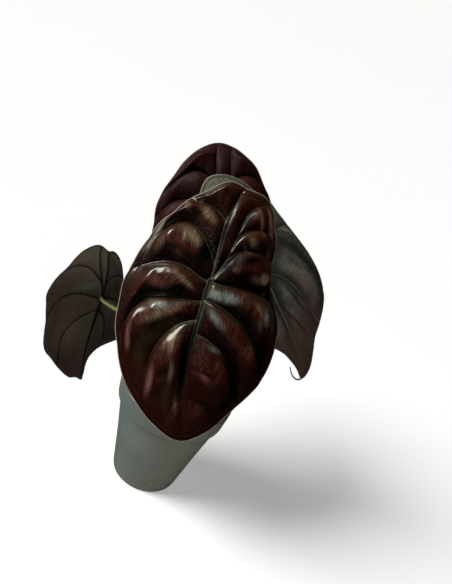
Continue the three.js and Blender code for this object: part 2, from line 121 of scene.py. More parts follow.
# The faces between rings of points, with a cap at both ends, or closed round to the first ring.
def ringFaces(rings, sides, closedRound=False):
    faces = []
    for ring in range(rings if closedRound else rings - 1):
        for side in range(sides):
            following, near, far = (side + 1) % sides, ring * sides, (ring + 1) % rings * sides
            faces.append([near + side, near + following, far + following, far + side])
    if not closedRound:
        faces.append(list(range(sides))[::-1])
        faces.append([(rings - 1) * sides + side for side in range(sides)])
    return faces


def activate(piece):
    bpy.ops.object.select_all(action="DESELECT")
    piece.select_set(True)
    bpy.context.view_layer.objects.active = piece


def smoothShade(piece, degrees=60):
    activate(piece)
    bpy.ops.object.shade_smooth_by_angle(angle=math.radians(degrees))
    piece.select_set(False)


def addAttribute(piece, name, values):
    attribute = piece.data.attributes.new(name, "FLOAT", "POINT")
    attribute.data.foreach_set("value", np.asarray(values, np.float32))


# Gives a piece its material, and says which node of the plain model it stands for.
def declare(piece, material, node):
    piece.data.materials.append(material)
    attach(piece, "root")
    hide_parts(node)


# Leaves: each is drawn flat, in millimetres, about the point where its petiole meets it, x to the right
# and -y towards the tip, and is then arched and placed

leafPlan = {
    "thickness": 0.8,  # of the blade
    "ribThickness": 0.7,  # how far a rib stands out below, at the pole
    "ribThins": (0.7, 0.4),  # shares of that at the rib's two handles
    "ribBelow": 1.8,  # half the width of a rib below
    "ribSteps": 8,
    "trunkSteps": 5,
    "trunkStretch": 20,  # what a stretch of a lobe's rib is divided over, before the fine spacing
    "poleStretch": 26,  # the same for a cell that starts at the pole
    "midribSpacing": 2.6,
    "foldRound": 5,
    "rimRound": 0.28,
    "crestSkew": 0.72,  # below 1, the quilting's crest lies nearer the rib on the lobes' side
    "crestStarts": 5,  # the higher, the sooner a cell rises from where its ribs part
    "rimFall": 0.85,
    "rimFallOver": (0.68, 0.95),
    "tipFall": 0.85,
    "tipFallOver": (50, 88),
    "wideCell": 22,  # a cell this wide is as uneven as any
    "swells": 18,
    "bladeSwells": (7, 18),
    "wrinkleSwells": (2.5, 6),
    "faintRib": (0.4, 0.2, 0.05),
    "faintClear": 0.15,  # how clearly a faint rib's colour shows
    "faintDepth": 0.3,
    "ribTaper": 0.6,
    "ribSinks": 0.6,  # towards its end, as a share of its height
    "furrow": (0.5, 0.35),  # along the midrib: its depth and half its width, as shares of the midrib's
    "grooveWider": 0.8,  # than the rib, at each side
    "grooveFades": 0.75,
    "veinFadeOver": (0.1, 0.6),
    "valley": 3.5,  # how far from a rib its shadow reaches
    "collectiveWidth": 0.9,  # of the groove that runs along the margin
    "bead": (0.8, 0.12, 0.05),  # the margin's thickening: its width, and its height above and below
    "paleEdge": 0.75,
}

# pole, aim and face place a leaf: its petiole's end, where its tip points and where its upper face looks.
# bend holds curvatures, in 1/mm, and fold the least and most angle of a crease along the midrib and where
# it grows. margin lists angles from the tip, in degrees, with radii. A main rib is its two handles and the
# angle where it ends on the margin, and the trunks are the two that run back into the lobes. A side rib
# starts with the share of its parent where it leaves it. Ribs that leave the midrib after faintAfter hardly
# show. quilt is a cell's height as a share of its width, and quiltMost its limit. ribForms gives half a
# rib's width at its start and its end, and its height. A crease is a line, its width and its height, and
# a patch is its centre, half sizes, heading from the tip in degrees, and strength: the tan, pink and cold
# patches are painted sheen and highlights, the dark ones painted shadow, and the olive ones an olive tint.

frontLeaf = {
    "pole": (-8, -15, 184), "aim": (0.207, -0.477, -0.856), "face": (0.02, -0.87, 0.5),
    "bend": {
        "tip": 0.002, "lobe": 0.004, "left": 0.006, "right": 0.01, "rightMore": 0.012, "rightAt": 8,
        "rightOver": 26,
    },
    "margin": [
        (0, 109), (9, 102.5), (20, 90), (30, 83), (40, 77.5), (50, 70.5), (61, 63.5), (72, 60.5),
        (83, 58.5), (94, 54), (104, 50), (113, 50.5), (124, 52), (134, 56), (142, 59), (149, 65),
        (157, 70), (168, 68.5), (180, 69.5), (-167, 61.5), (-154, 57.5), (-142, 53), (-131, 52.5),
        (-112, 51), (-94, 53.5), (-80, 58.5), (-67, 63), (-54, 71), (-42, 78), (-30, 88), (-21, 94.5),
        (-11, 102.5),
    ],
    "midrib": [(-4.8, -39.5), (-6.7, -75), 2.4], "rightTrunk": [(18, 28), (4.5, 52), 152.7],
    "leftTrunk": [(2.4, 23.5), (-1.5, 46), 170.5],
    "rightRibs": [
        [0.72, (8, -79), (17, -81), 16], [0.31, (22.6, -39), (34.5, -74), 23.4],
        [0.11, (9.6, -13), (39, -25), 39.4], [0, (13, -5.2), (41, 7.6), 76.6],
    ],
    "rightTrunkRibs": [[0.17, (15.7, 29), (29.7, 26.5), 117.5], [0.36, (15, 37.5), (25, 46.5), 131]],
    "leftTrunkRibs": [[0.15, (-26, 62), (-38, 18), -113.5], [0.59, (-8, 54), (-19, 50), -155.5]],
    "leftRibs": [
        [0, (-11, -3), (-18, 21.6), -85.6], [0.12, (-34, -17), (-50, -13), -44.2],
        [0.235, (-4.8, -24.4), (-42, -37.7), -15.3], [0.74, (-8, -80), (-12, -92), -6],
    ],
    "quilt": 0.27, "quiltMost": 7, "faintAfter": 0.7, "ribRows": 64, "fineSpacing": 0.62, "seed": 3,
    "ribForms": {"midrib": (2.3, 0.3, 0.6), "trunk": (0.6, 0.25, 0.3), "side": (0.5, 0.25, 0.25)},
    "groove": 0.6, "uneven": 0.45, "wrinkles": 0.1, "veinFade": 0.85, "collectiveAt": 4.8,
    "collective": 0.5, "roll": 1.6,
    "creases": [
        [[(-11, -44), (-13, -56), (-14, -63)], 2.2, 0.9], [[(-22, -71), (-12, -69)], 1.3, 0.6],
        [[(-27, -62), (-30, -72), (-30, -82)], 2, 0.7], [[(-2, -57), (6, -60), (13, -61)], 1.2, -0.6],
        [[(1, -64), (8, -66), (14, -69)], 1.4, 0.5],
    ],
    "patches": {
        "tan": [
            (-16, 26.5, 9, 4.5, 48, 0.9), (-9.5, 42.5, 8, 3.5, 45, 0.85),
            (-16.5, -2.5, 9, 2.2, 55, 0.8), (-28, -21, 11, 3.2, 84, 0.7), (-16, -42, 9, 2, 0, 0.9),
            (-39.5, 28, 13, 1.6, -17, 0.9), (-6.5, -84, 8, 2, 8, 0.4), (-12.7, -62, 10, 2.2, 0, 0.6),
            (-26, -26, 16, 4, 124, 0.7), (35, 9, 5, 3.5, 60, 0.9), (31, 51, 8, 2, 15, 0.8),
            (-24, 46, 5, 2.5, 30, 0.8), (22, 31, 5, 3.5, 40, 0.6), (32, -10, 7, 3, 60, 0.5),
            (-36, 18, 8, 3, -25, 0.5),
        ],
        "olive": [
            (-20, -33, 10, 5, 120, 0.9), (-30, -43, 10, 5, 135, 0.9), (-35, -57, 14, 5, 5, 0.8),
            (-14, -78, 14, 4, 5, 0.9), (4, 60, 8, 4, 60, 0.5),
        ],
        "pink": [
            (-26, -71, 12, 2.6, -4, 0.9), (-44.5, -46, 11, 2.6, 0, 0.8), (10, 22, 9, 4, 30, 0.4),
            (8, -62, 7, 3, 60, 0.5), (25, 46, 12, 1.3, 22, 0.9), (35, -14, 5, 1.5, 45, 0.9),
            (-24, 14, 8, 3, 70, 0.35), (-34, -7, 11, 4.5, 80, 0.5), (30, 7, 7, 3.5, 80, 0.6),
            (34, 43, 12, 2.5, 17, 0.8), (41, 18, 14, 3, 28, 0.75), (48, -20, 9, 2.5, 10, 0.6),
        ],
        "cold": [
            (5.5, -8.5, 8, 3.6, 80, 1), (13, -8.5, 8, 4, 85, 1), (8, -23, 10, 3.4, 45, 0.6),
            (11, -43, 6, 2.4, 70, 0.6), (-28, -21.5, 7, 3, 95, 0.9), (12, 11, 6, 2.5, 60, 0.4),
            (19, 25, 6, 2, 40, 0.4), (42, -6, 9, 2.2, 10, 0.5), (37, -22, 8, 2, 20, 0.4),
            (-41, 24, 15, 2.2, -20, 0.9), (40, -16, 7, 2.6, 20, 0.8), (48, -14, 7, 2, 15, 0.5),
        ],
        "dark": [
            (-6, 19, 15, 5, -20, 1), (-7.2, -50, 30, 2.3, 4, 1), (16, -41, 8, 2.6, 51, 1),
            (24.5, -51.5, 9, 4, 34, 1), (28.5, -65, 11, 4.2, 0, 1), (26, -78, 8, 4, -35, 0.8),
            (5, 14, 8, 4, 0, 0.8), (-30, -96, 20, 6, 60, 0.5), (44, -40, 22, 5, 10, 0.7),
            (18, -86, 18, 6, 50, 0.5), (4.3, 37, 22, 3, -8, 0.65), (22, 19, 12, 4, 105, 0.7),
            (-39, 1, 16, 3.2, 97, 0.55), (10, 15, 9, 4, -13, 1), (15, 44, 9, 3, -36, 0.8),
            (-37, -24.5, 8, 2.5, 95, 0.35),
        ],
    },
}

rightLeaf = {
    "pole": (20.6, 22, 190.8), "aim": (0.625, 0.03, -0.778), "face": (0.4, -0.8, 0.4),
    "bend": {"tip": 0.004, "lobe": 0.005, "left": 0.014, "right": 0.012},
    "margin": [
        (7, 122), (12, 120), (17, 104), (22, 92), (30, 88), (38, 85), (45, 80), (53, 70), (61, 60),
        (70, 51), (84, 42.5), (98, 38), (112, 36.5), (126, 37.5), (140, 41), (151, 47), (163, 53),
        (172, 62), (-180, 69), (-171, 73), (-163, 69), (-150, 58), (-135, 48), (-118, 43), (-100, 41),
        (-80, 42), (-60, 46), (-40, 53), (-22, 60), (-8, 66), (0, 77), (4, 92), (6, 106),
    ],
    "midrib": [(3.2, -41), (14.4, -77), 7], "rightTrunk": [(5, 16), (10, 36), 166],
    "leftTrunk": [(-6, 16), (-14, 40), -167],
    "rightRibs": [
        [0.25, (12, -44), (24, -66), 19], [0.04, (25.6, -13.8), (30.1, -62.7), 29.4],
        [0, (21.5, 33.8), (38.7, -17.2), 45.9],
    ],
    "rightTrunkRibs": [[0.4, (16, 24), (24, 22), 122]],
    "leftTrunkRibs": [[0.4, (-16, 26), (-30, 30), -128]],
    "leftRibs": [
        [0, (-14, 12), (-32, 8), -72], [0.04, (-12, -12), (-26, -24), -38],
        [0.25, (-6, -42), (-6, -56), -4],
    ],
    "dripTip": [
        (19, -113), (17.4, -120.3), (14, -121), (9.9, -117), (6.6, -110), (5, -103), (4.4, -96.5),
    ],
    "quilt": 0.095, "quiltMost": 2.9, "faintAfter": 0.2, "ribRows": 52, "fineSpacing": 0.8, "seed": 5,
    "ribForms": {"midrib": (0.9, 0.35, 0.3), "trunk": (0.8, 0.3, 0.25), "side": (0.55, 0.3, 0.2)},
    "groove": 0.4, "uneven": 0.3, "wrinkles": 0.06, "veinFade": 0.4, "collectiveAt": 2.2,
    "collective": 0.25, "roll": 0,
    "patches": {
        "tan": [(36, 10, 14, 4, 35, 0.5), (26, -80, 26, 6, 20, 0.35)],
        "pink": [(28, -24, 26, 4, 28, 0.7), (17, -60, 30, 4, 18, 0.5), (36, -50, 14, 4, 30, 0.5)],
        "cold": [(20, -8, 12, 3.5, 45, 0.7), (46, -16, 14, 3, 30, 0.5), (14, -44, 14, 3, 25, 0.5)],
        "dark": [(30, -12, 26, 2.2, 38, 0.6), (20, -38, 30, 2.2, 22, 0.5), (40, 12, 20, 2, 40, 0.6)],
    },
}

backLeaf = {
    "pole": (-20, 46, 185.3), "aim": (0.33, -0.4, -0.85), "face": (0.05, -0.9, 0.42),
    "bend": {"tip": 0.002, "lobe": 0.004, "left": 0.006, "right": 0.006},
    "margin": [
        (0, 97), (10, 91), (20, 85), (31, 77), (43, 69), (57, 60), (72, 53.5), (88, 49), (104, 48),
        (118, 50), (130, 53.5), (143, 58), (154, 65), (163, 69), (172, 73), (-179, 74.5), (-169, 70.5),
        (-157, 63.5), (-145, 56.5), (-130, 52.5), (-117, 49.5), (-102, 46), (-88, 46.5), (-72, 51),
        (-57, 59), (-43, 68), (-31, 76.5), (-20, 84.5), (-10, 91),
    ],
    "midrib": [(0, -35), (0, -70), 0], "rightTrunk": [(17, 22), (8, 54), 172],
    "leftTrunk": [(5, 25), (-3, 47), -179],
    "rightRibs": [
        [0.62, (10, -74), (17, -82), 10], [0.3, (22, -36), (32, -62), 20],
        [0.12, (18, -16), (42, -32), 45], [0, (22, 2), (44, 4), 68],
    ],
    "rightTrunkRibs": [[0.22, (16, 19), (34, 22), 108], [0.58, (17, 50), (25, 55), 138]],
    "leftTrunkRibs": [[0.31, (-15, 28), (-32, 36), -103.5], [0.6, (-16, 53), (-19, 57), -125]],
    "leftRibs": [
        [0, (-22, 2), (-44, 4), -68], [0.12, (-18, -16), (-42, -32), -45],
        [0.3, (-22, -36), (-32, -62), -20], [0.62, (-10, -74), (-17, -82), -10],
    ],
    "quilt": 0.15, "quiltMost": 4.6, "faintAfter": 0.6, "ribRows": 52, "fineSpacing": 0.8, "seed": 8,
    "ribForms": {"midrib": (1.8, 0.4, 0.4), "trunk": (0.7, 0.3, 0.25), "side": (0.55, 0.3, 0.2)},
    "groove": 0.35, "uneven": 0.22, "wrinkles": 0.05, "veinFade": 0.4, "collectiveAt": 3,
    "collective": 0.3, "roll": 0.4,
}

leftLeaf = {
    "pole": (-78, 12, 123), "aim": (0.167, 0.06, -0.984), "face": (-0.45, 0.85, 0.1),
    "bend": {
        "tip": 0.003, "lobe": 0.004, "left": 0.004, "right": 0.006, "fold": (30, 60, 40, 60),
        "lean": 0.17,
    },
    "margin": [
        (8, 72.5), (12, 71), (16, 72), (24, 67.5), (34, 61.5), (39, 60), (44, 57), (54, 49), (65, 43),
        (83, 39.5), (95, 39.5), (110, 38), (124, 37), (137, 37), (149, 40), (160, 43.5), (173, 45.5),
        (-178, 40), (-170, 38), (-161, 34), (-150, 29), (-136, 24), (-118, 20.5), (-90, 20.5),
        (-63, 27), (-50, 37), (-40, 46), (-31, 50.5), (-24, 51.5), (-16, 49.5), (-8, 49), (-3, 50.5),
        (1, 54), (4, 61), (6, 69),
    ],
    "midrib": [(3.5, -23), (12.7, -52), 8], "rightTrunk": [(-1, 10), (6, 32), 175],
    "leftTrunk": [(-3, 12), (-2, 27), -178],
    "rightRibs": [[0.14, (38.8, -26), (26.1, -50.7), 27], [0, (0.7, -6.7), (27, 21.2), 67.8]],
    "rightTrunkRibs": [[0.3, (6.5, 24), (16, 35), 127]],
    "leftTrunkRibs": [[0.3, (-7, 17), (-13, 16), -124]],
    "leftRibs": [[0, (-10, -4), (-18, -10), -58], [0.14, (-10, -28), (-6, -44), 1]],
    "quilt": 0.07, "quiltMost": 2.2, "faintAfter": 0.7, "ribRows": 48, "fineSpacing": 0.7, "seed": 11,
    "ribForms": {"midrib": (1.7, 0.6, 0.2), "trunk": (1.3, 0.8, 0.15), "side": (1.15, 0.75, 0.12)},
    "groove": 0.15, "uneven": 0.15, "wrinkles": 0.03, "veinFade": 0.4, "collectiveAt": 2.2,
    "collective": 0.2, "roll": 0,
    "patches": {
        "tan": [(22, -30, 26, 14, 20, 0.35), (16, 22, 14, 7, 60, 0.3)],
        "cold": [
            (11, 9, 11, 4, 75, 0.45), (-7, 18, 16, 7, 0, 0.4), (-8, -10, 16, 8, 0, 0.35),
            (12, 34, 10, 5, 50, 0.3),
        ],
    },
}

leaves = {"front": frontLeaf, "right": rightLeaf, "back": backLeaf, "left": leftLeaf}
# the patches' colours: tan, pink and cold are painted sheen and highlights, dark is painted shadow, olive a
# tint
patchColours = {
    "olive": "#30230b", "dark": "#060100", "tan": "#89755a", "pink": "#7d5148", "cold": "#7f8880",
}


# Steps from 0 to 1 that lie closer together near both ends.
def gradedSteps(count, grade=0.6):
    even = np.linspace(0, 1, count + 1)
    return (1 - grade) * even + grade * (0.5 - 0.5 * np.cos(math.pi * even))


def smoothSteps(value, start, end):
    share = ((value - start) / (end - start)).clip(0, 1)
    return share * share * (3 - 2 * share)


# A smooth way from start to end, by the slopes at both.
def smoothWay(t, start, startSlope, end, endSlope):
    return (
        (2 * t**3 - 3 * t**2 + 1) * start + (t**3 - 2 * t**2 + t) * startSlope
        + (3 * t**2 - 2 * t**3) * end + (t**3 - t**2) * endSlope
    )


def lengthsAlong(points):
    return np.concatenate([[0], np.cumsum(np.linalg.norm(np.diff(points, axis=0), axis=1))])


# A soft bump of height 1 at 0, that has all but faded at twice its width.
def softBump(distance, width, power=2):
    return np.exp(-((distance / width) ** power))


# The leaf's edge at angles from its tip, by a smooth curve through the listed radii.
def marginPoints(leaf, degrees):
    listed = sorted((angle % 360, radius) for angle, radius in leaf["margin"])
    angles, radii = np.array(listed, float).T
    angle = np.asarray(degrees, float) % 360
    following = np.searchsorted(angles, angle, side="right")

    def at(index):
        return angles[index % len(listed)] + 360 * (index // len(listed)), radii[index % len(listed)]

    before, start, end, after = (at(following + step) for step in (-2, -1, 0, 1))
    span = end[0] - start[0]
    startSlope = (end[1] - before[1]) / (end[0] - before[0]) * span
    endSlope = (after[1] - start[1]) / (after[0] - start[0]) * span
    radius = smoothWay((angle - start[0]) / span, start[1], startSlope, end[1], endSlope)
    turn = np.radians(angle)
    return np.stack([radius * np.sin(turn), -radius * np.cos(turn), 0 * radius], axis=-1)


# A rib in the flat leaf. Its z is how far it stands out below the blade, which fades to the edge.
def ribPoints(leaf, start, handles, endAngle, t):
    thinning = zip(handles, leafPlan["ribThins"])
    first, second = (np.array([*point, start[2] * share]) for point, share in thinning)
    end = marginPoints(leaf, endAngle)
    t = np.asarray(t, float)[:, None]
    return (1 - t) ** 3 * start + 3 * (1 - t) ** 2 * t * first + 3 * (1 - t) * t**2 * second + t**3 * end


# A main rib with the side ribs' starting shares among its points. places counts the plain model's steps
# along it, so that the finer cells keep its shape.
def mainRib(leaf, spec, starts, coarseSteps, fineSteps):
    origin = np.array([0, 0, leafPlan["ribThickness"]])
    shares = sorted({0, *starts})
    t, places, indexOf, place = [], [], {}, 0
    for number, share in enumerate(shares):
        last = number == len(shares) - 1
        end = 1 if last else shares[number + 1]
        coarse = leafPlan["ribSteps"] if last else coarseSteps(share, end)
        steps = gradedSteps(leaf["ribRows"] if last else fineSteps(share, end))[:-1]
        indexOf[share] = len(t)
        t.extend(share + (end - share) * steps)
        places.extend(place + coarse * steps)
        place += coarse
    points = ribPoints(leaf, origin, spec[:2], spec[2], [*t, 1])
    return {"points": points, "places": np.array([*places, place]), "indexOf": indexOf}


# The cells between neighbouring ribs, each with its two ribs and the stretch that they start from.
def bladeCells(leaf):
    spacing, rows = leaf["fineSpacing"], leaf["ribRows"]
    *midribHandles, tipAngle = leaf["midrib"]
    flatMidrib = ribPoints(leaf, np.zeros(3), midribHandles, tipAngle, np.linspace(0, 1, 201))
    midribLength = lengthsAlong(flatMidrib)[-1]

    def coarseMidribSteps(start, end):
        return max(2, math.floor((end - start) * midribLength / leafPlan["midribSpacing"] + 0.5))

    def fineMidribSteps(start, end):
        return max(8, round((end - start) * midribLength / spacing))

    def trunk(side):
        starts = [rib[0] for rib in leaf[side + "TrunkRibs"]]
        coarseSteps, fineSteps = leafPlan["trunkSteps"], round(leafPlan["trunkStretch"] / spacing)
        return mainRib(leaf, leaf[side + "Trunk"], starts, lambda *_: coarseSteps, lambda *_: fineSteps)

    midribStarts = [rib[0] for rib in leaf["rightRibs"] + leaf["leftRibs"]]
    midrib = mainRib(leaf, leaf["midrib"], midribStarts, coarseMidribSteps, fineMidribSteps)
    rightTrunk, leftTrunk = trunk("right"), trunk("left")

    def stretch(parent, index, angle, points, u, **kind):
        return {"parent": parent, "index": index, "angle": angle, "points": points, "u": u, **kind}

    def sideRib(parent, rib):
        index = parent["indexOf"][rib[0]]
        points = ribPoints(leaf, parent["points"][index], rib[1:3], rib[3], gradedSteps(rows))
        kind = "faint" if parent is midrib and rib[0] > leaf["faintAfter"] else "side"
        return stretch(parent, index, rib[3], points, gradedSteps(rows), kind=kind)

    def tail(parent, angle):
        index = len(parent["points"]) - 1 - rows
        return stretch(parent, index, angle, parent["points"][index:], gradedSteps(rows))

    def whole(parent, angle):
        return stretch(parent, 0, angle, parent["points"], parent["places"] / parent["places"][-1])

    rightEnd, leftEnd = leaf["rightTrunk"][2], leaf["leftTrunk"][2]
    fans = [
        [tail(midrib, tipAngle)] + [sideRib(midrib, rib) for rib in leaf["rightRibs"]],
        [sideRib(rightTrunk, rib) for rib in leaf["rightTrunkRibs"]] + [tail(rightTrunk, rightEnd)],
        [whole(rightTrunk, rightEnd), whole(leftTrunk, leftEnd)],
        [tail(leftTrunk, leftEnd)] + [sideRib(leftTrunk, rib) for rib in reversed(leaf["leftTrunkRibs"])],
        [sideRib(midrib, rib) for rib in leaf["leftRibs"]] + [tail(midrib, tipAngle)],
    ]
    cells = []

    def addCell(first, second, side, parent, start, end):
        low, high = min(start, end), max(start, end)
        base, places = parent["points"][low : high + 1], parent["places"][low : high + 1]
        if start > end:
            base, places = base[::-1], places[::-1]
        v = gradedSteps(round(leafPlan["poleStretch"] / spacing))
        if len(base) > 1:
            v = (places - places[0]) / (places[-1] - places[0])
        cells.append({"first": first, "second": second, "side": side, "base": base, "v": v})

    for number, fan in enumerate(fans):
        side = 1 if number < 3 else -1
        for first, second in zip(fan, fan[1:]):
            sameParent = first["parent"] is second["parent"]
            end = second["index"] if sameParent else first["index"]
            addCell(first, second, side, first["parent"], first["index"], end)
    addCell(fans[0][-1], fans[1][0], 1, rightTrunk, 0, fans[1][0]["index"])
    addCell(fans[3][-1], fans[4][0], -1, leftTrunk, fans[3][-1]["index"], 0)
    ribs = [("midrib", midrib["points"]), ("trunk", rightTrunk["points"]), ("trunk", leftTrunk["points"])]
    ribs += [(rib["kind"], rib["points"]) for fan in fans for rib in fan if "kind" in rib]
    return cells, ribs


# A cell's flat grid, blended from its ribs, its base and the leaf's edge, with the height of its quilting,
# how far finer unevenness may show, and how far along and across the cell each point is.
def cellGrid(leaf, cell):
    first, second, base, v = cell["first"], cell["second"], cell["base"], cell["v"]
    u = first["u"]
    sweep = (second["angle"] - first["angle"]) % 360 or 360
    edge = marginPoints(leaf, first["angle"] + sweep * v)
    if len(base) == 1:
        base = np.repeat(base, len(v), axis=0)
    uu, vv = u[:, None, None], v[None, :, None]
    one, two = first["points"][:, None, :], second["points"][:, None, :]
    flat = (
        one * (1 - vv) + two * vv + base[None] * (1 - uu) + edge[None] * uu
        - one[0] * (1 - uu) * (1 - vv) - two[0] * (1 - uu) * vv
        - edge[0] * uu * (1 - vv) - edge[-1] * uu * vv
    )
    width = np.linalg.norm(first["points"] - second["points"], axis=1)[:, None]
    u, v = u[:, None], v[None, :]
    lengthways = 1 - (1 - u) ** leafPlan["crestStarts"]
    lengthways = lengthways * (1 - leafPlan["rimFall"] * smoothSteps(u, *leafPlan["rimFallOver"]))
    skewed = v ** leafPlan["crestSkew"] if cell["side"] < 0 else 1 - (1 - v) ** leafPlan["crestSkew"]
    crossways = np.sin(math.pi * skewed).clip(0)
    puff = np.minimum(leaf["quiltMost"], leaf["quilt"] * width)
    tipward = 1 - leafPlan["tipFall"] * smoothSteps(-flat[..., 1], *leafPlan["tipFallOver"])
    height = puff * lengthways * crossways * tipward
    mask = lengthways * crossways * np.minimum(1, width / leafPlan["wideCell"])
    along = np.broadcast_to(lengthsAlong(first["points"])[:, None], mask.shape)
    streak = np.stack([along, v * width], axis=-1)
    return flat[..., :2], height, mask, streak


# A soft unevenness of the flat leaf between about -1 and 1, in swells of the given widths in millimetres.
def unevenness(flat, draw, least, most):
    total = np.zeros(len(flat))
    for _ in range(leafPlan["swells"]):
        swell = draw.uniform(least, most)
        heading, phase = draw.uniform(0, fullTurn), draw.uniform(0, fullTurn)
        across = flat[:, 0] * math.cos(heading) + 0.5 * flat[:, 1] * math.sin(heading)
        total += 2 * swell / (least + most) * np.sin(fullTurn / swell * across + phase)
    return total / 3


# The nearest distance from each flat point to a line of points, and which of those points is nearest.
def nearest(flat, line):
    distance, index = np.empty(len(flat)), np.empty(len(flat), int)
    for start in range(0, len(flat), 4000):
        part = slice(start, start + 4000)
        away = np.hypot(flat[part, 0, None] - line[None, :, 0], flat[part, 1, None] - line[None, :, 1])
        index[part], distance[part] = away.argmin(axis=1), away.min(axis=1)
    return distance, index


# Where points of the flat leaf lie once the blade is arched, height being above the mid-surface.
def bentPoints(leaf, flat, height):
    bend = leaf["bend"]
    y = flat[:, 1]
    hinge = -bend.get("lean", 0) * np.minimum(y, 0)
    x = flat[:, 0] - hinge
    across = np.where(x < 0, bend["left"], bend["right"])
    if "rightMore" in bend:
        more = bend["rightMore"] * softBump(y - bend["rightAt"], bend["rightOver"])
        across = across + np.where(x > 0, more, 0)

    # bends a pair of coordinates round a circle, whose curvature is given
    def curl(distance, above, curvature):
        reach = 1 / curvature + above
        return reach * np.sin(distance * curvature), reach * np.cos(distance * curvature) - 1 / curvature

    sideways, up = curl(x, height, across)
    if "fold" in bend:
        leastFold, mostFold, foldStart, foldEnd = bend["fold"]
        fold = leastFold + (mostFold - leastFold) * smoothSteps(-y, foldStart, foldEnd)
        angle = np.radians(fold) * smoothSteps(-x, 0, leafPlan["foldRound"])
        cosine, sine = np.cos(angle), np.sin(angle)
        sideways, up = sideways * cosine + up * sine, up * cosine - sideways * sine
    lengthways, drop = curl(y, up, np.where(y < 0, bend["tip"], bend["lobe"]))
    return np.stack([sideways + hinge, lengthways, drop], axis=-1)


def leafAxes(leaf):
    towardsLobes = -Vector(leaf["aim"]).normalized()
    face = Vector(leaf["face"])
    normal = (face - towardsLobes * face.dot(towardsLobes)).normalized()
    return towardsLobes.cross(normal), towardsLobes, normal


def placed(leaf, points):
    axes = np.array([list(axis) for axis in leafAxes(leaf)])
    return (points @ axes + np.array(leaf["pole"])) * mm


# A smooth line through points, evenly stepped: a centripetal Catmull-Rom curve, as the plain model uses.
def smoothLine(points, count):
    points = [Vector(point) for point in points]
    ends = [2 * points[0] - points[1], *points, 2 * points[-1] - points[-2]]
    dense, denseSteps = [], 40
    for one, two, three, four in zip(ends, ends[1:], ends[2:], ends[3:]):
        gaps = [b - a for a, b in ((one, two), (two, three), (three, four))]
        before, between, after = (max(gap.length**0.5, 1e-6) for gap in gaps)
        middle = gaps[1] / between
        start = (gaps[0] / before - (three - one) / (before + between) + middle) * between
        end = (middle - (four - two) / (between + after) + gaps[2] / after) * between
        dense += [smoothWay(step / denseSteps, two, start, three, end) for step in range(denseSteps)]
    dense.append(points[-1])
    lengths = lengthsAlong(np.array([list(point) for point in dense]))
    wanted = np.linspace(0, lengths[-1], count)
    columns = [np.interp(wanted, lengths, [point[axis] for point in dense]) for axis in range(3)]
    return [Vector(point) for point in zip(*columns)]


# How strongly each flat point lies in one of the soft oval patches.
def patchStrength(flat, patches):
    total = np.zeros(len(flat))
    for x, y, halfLength, halfWidth, heading, strength in patches:
        cosine, sine = math.cos(math.radians(heading)), math.sin(math.radians(heading))
        awayX, awayY = flat[:, 0] - x, flat[:, 1] - y
        along, across = awayX * sine - awayY * cosine, awayY * sine + awayX * cosine
        oval = np.exp(-((along / halfLength) ** 2) - (across / halfWidth) ** 2)
        total = np.maximum(total, strength * oval)
    return total


# What the ribs and the margin add to a blade, in millimetres, and where their colours and gloss show.
def bladeRelief(leaf, flat, ribs):
    plan = leafPlan
    kinds = ("vein", "paleVein", "midrib", "below", "veinNear", "ridges", "valley")
    relief = {kind: np.zeros(len(flat)) for kind in kinds}

    def raiseTo(kind, values):
        relief[kind] = np.maximum(relief[kind], values)

    for kind, line in ribs:
        distance, index = nearest(flat, line)
        share = lengthsAlong(line[:, :2])
        share = (share / share[-1])[index]
        startWidth, endWidth, rise = leaf["ribForms"].get(kind, plan["faintRib"])
        halfWidth = startWidth + (endWidth - startWidth) * share ** plan["ribTaper"]
        ridge = (1 - (distance / halfWidth) ** 2).clip(0)
        depth, strength, clear = 1 - plan["grooveFades"] * share, 1, 1
        if kind == "faint":
            depth, strength, clear = plan["faintDepth"], plan["faintDepth"], plan["faintClear"]
        furrow = 0
        if kind == "midrib":
            relief["midrib"] = ridge
            furrow = plan["furrow"][0] * softBump(distance, plan["furrow"][1] * halfWidth)
        else:
            raiseTo("vein", ridge * clear)
            fade = leaf["veinFade"] * smoothSteps(share, *plan["veinFadeOver"])
            raiseTo("paleVein", ridge * clear * (1 - fade))
        raiseTo("ridges", ridge * rise * (1 - plan["ribSinks"] * share) * (1 - furrow))
        raiseTo("below", line[index, 2] * (1 - (distance / plan["ribBelow"]) ** 2).clip(0))
        raiseTo("valley", strength * softBump(distance, plan["valley"]))
        # veinNear sinks the groove beside each rib and also places the painted shade along it
        raiseTo("veinNear", depth * softBump(distance, halfWidth + plan["grooveWider"], 4))

    edgeLine = marginPoints(leaf, np.linspace(0, 360, 1440, endpoint=False))
    edgeDistance, _ = nearest(flat, edgeLine)
    relief["collective"] = softBump(edgeDistance - leaf["collectiveAt"], plan["collectiveWidth"])
    relief["roll"] = (1 - edgeDistance / leaf["collectiveAt"]).clip(0) ** 2
    relief["bead"] = softBump(edgeDistance, plan["bead"][0])
    relief["edge"] = softBump(edgeDistance, plan["paleEdge"])
    return relief


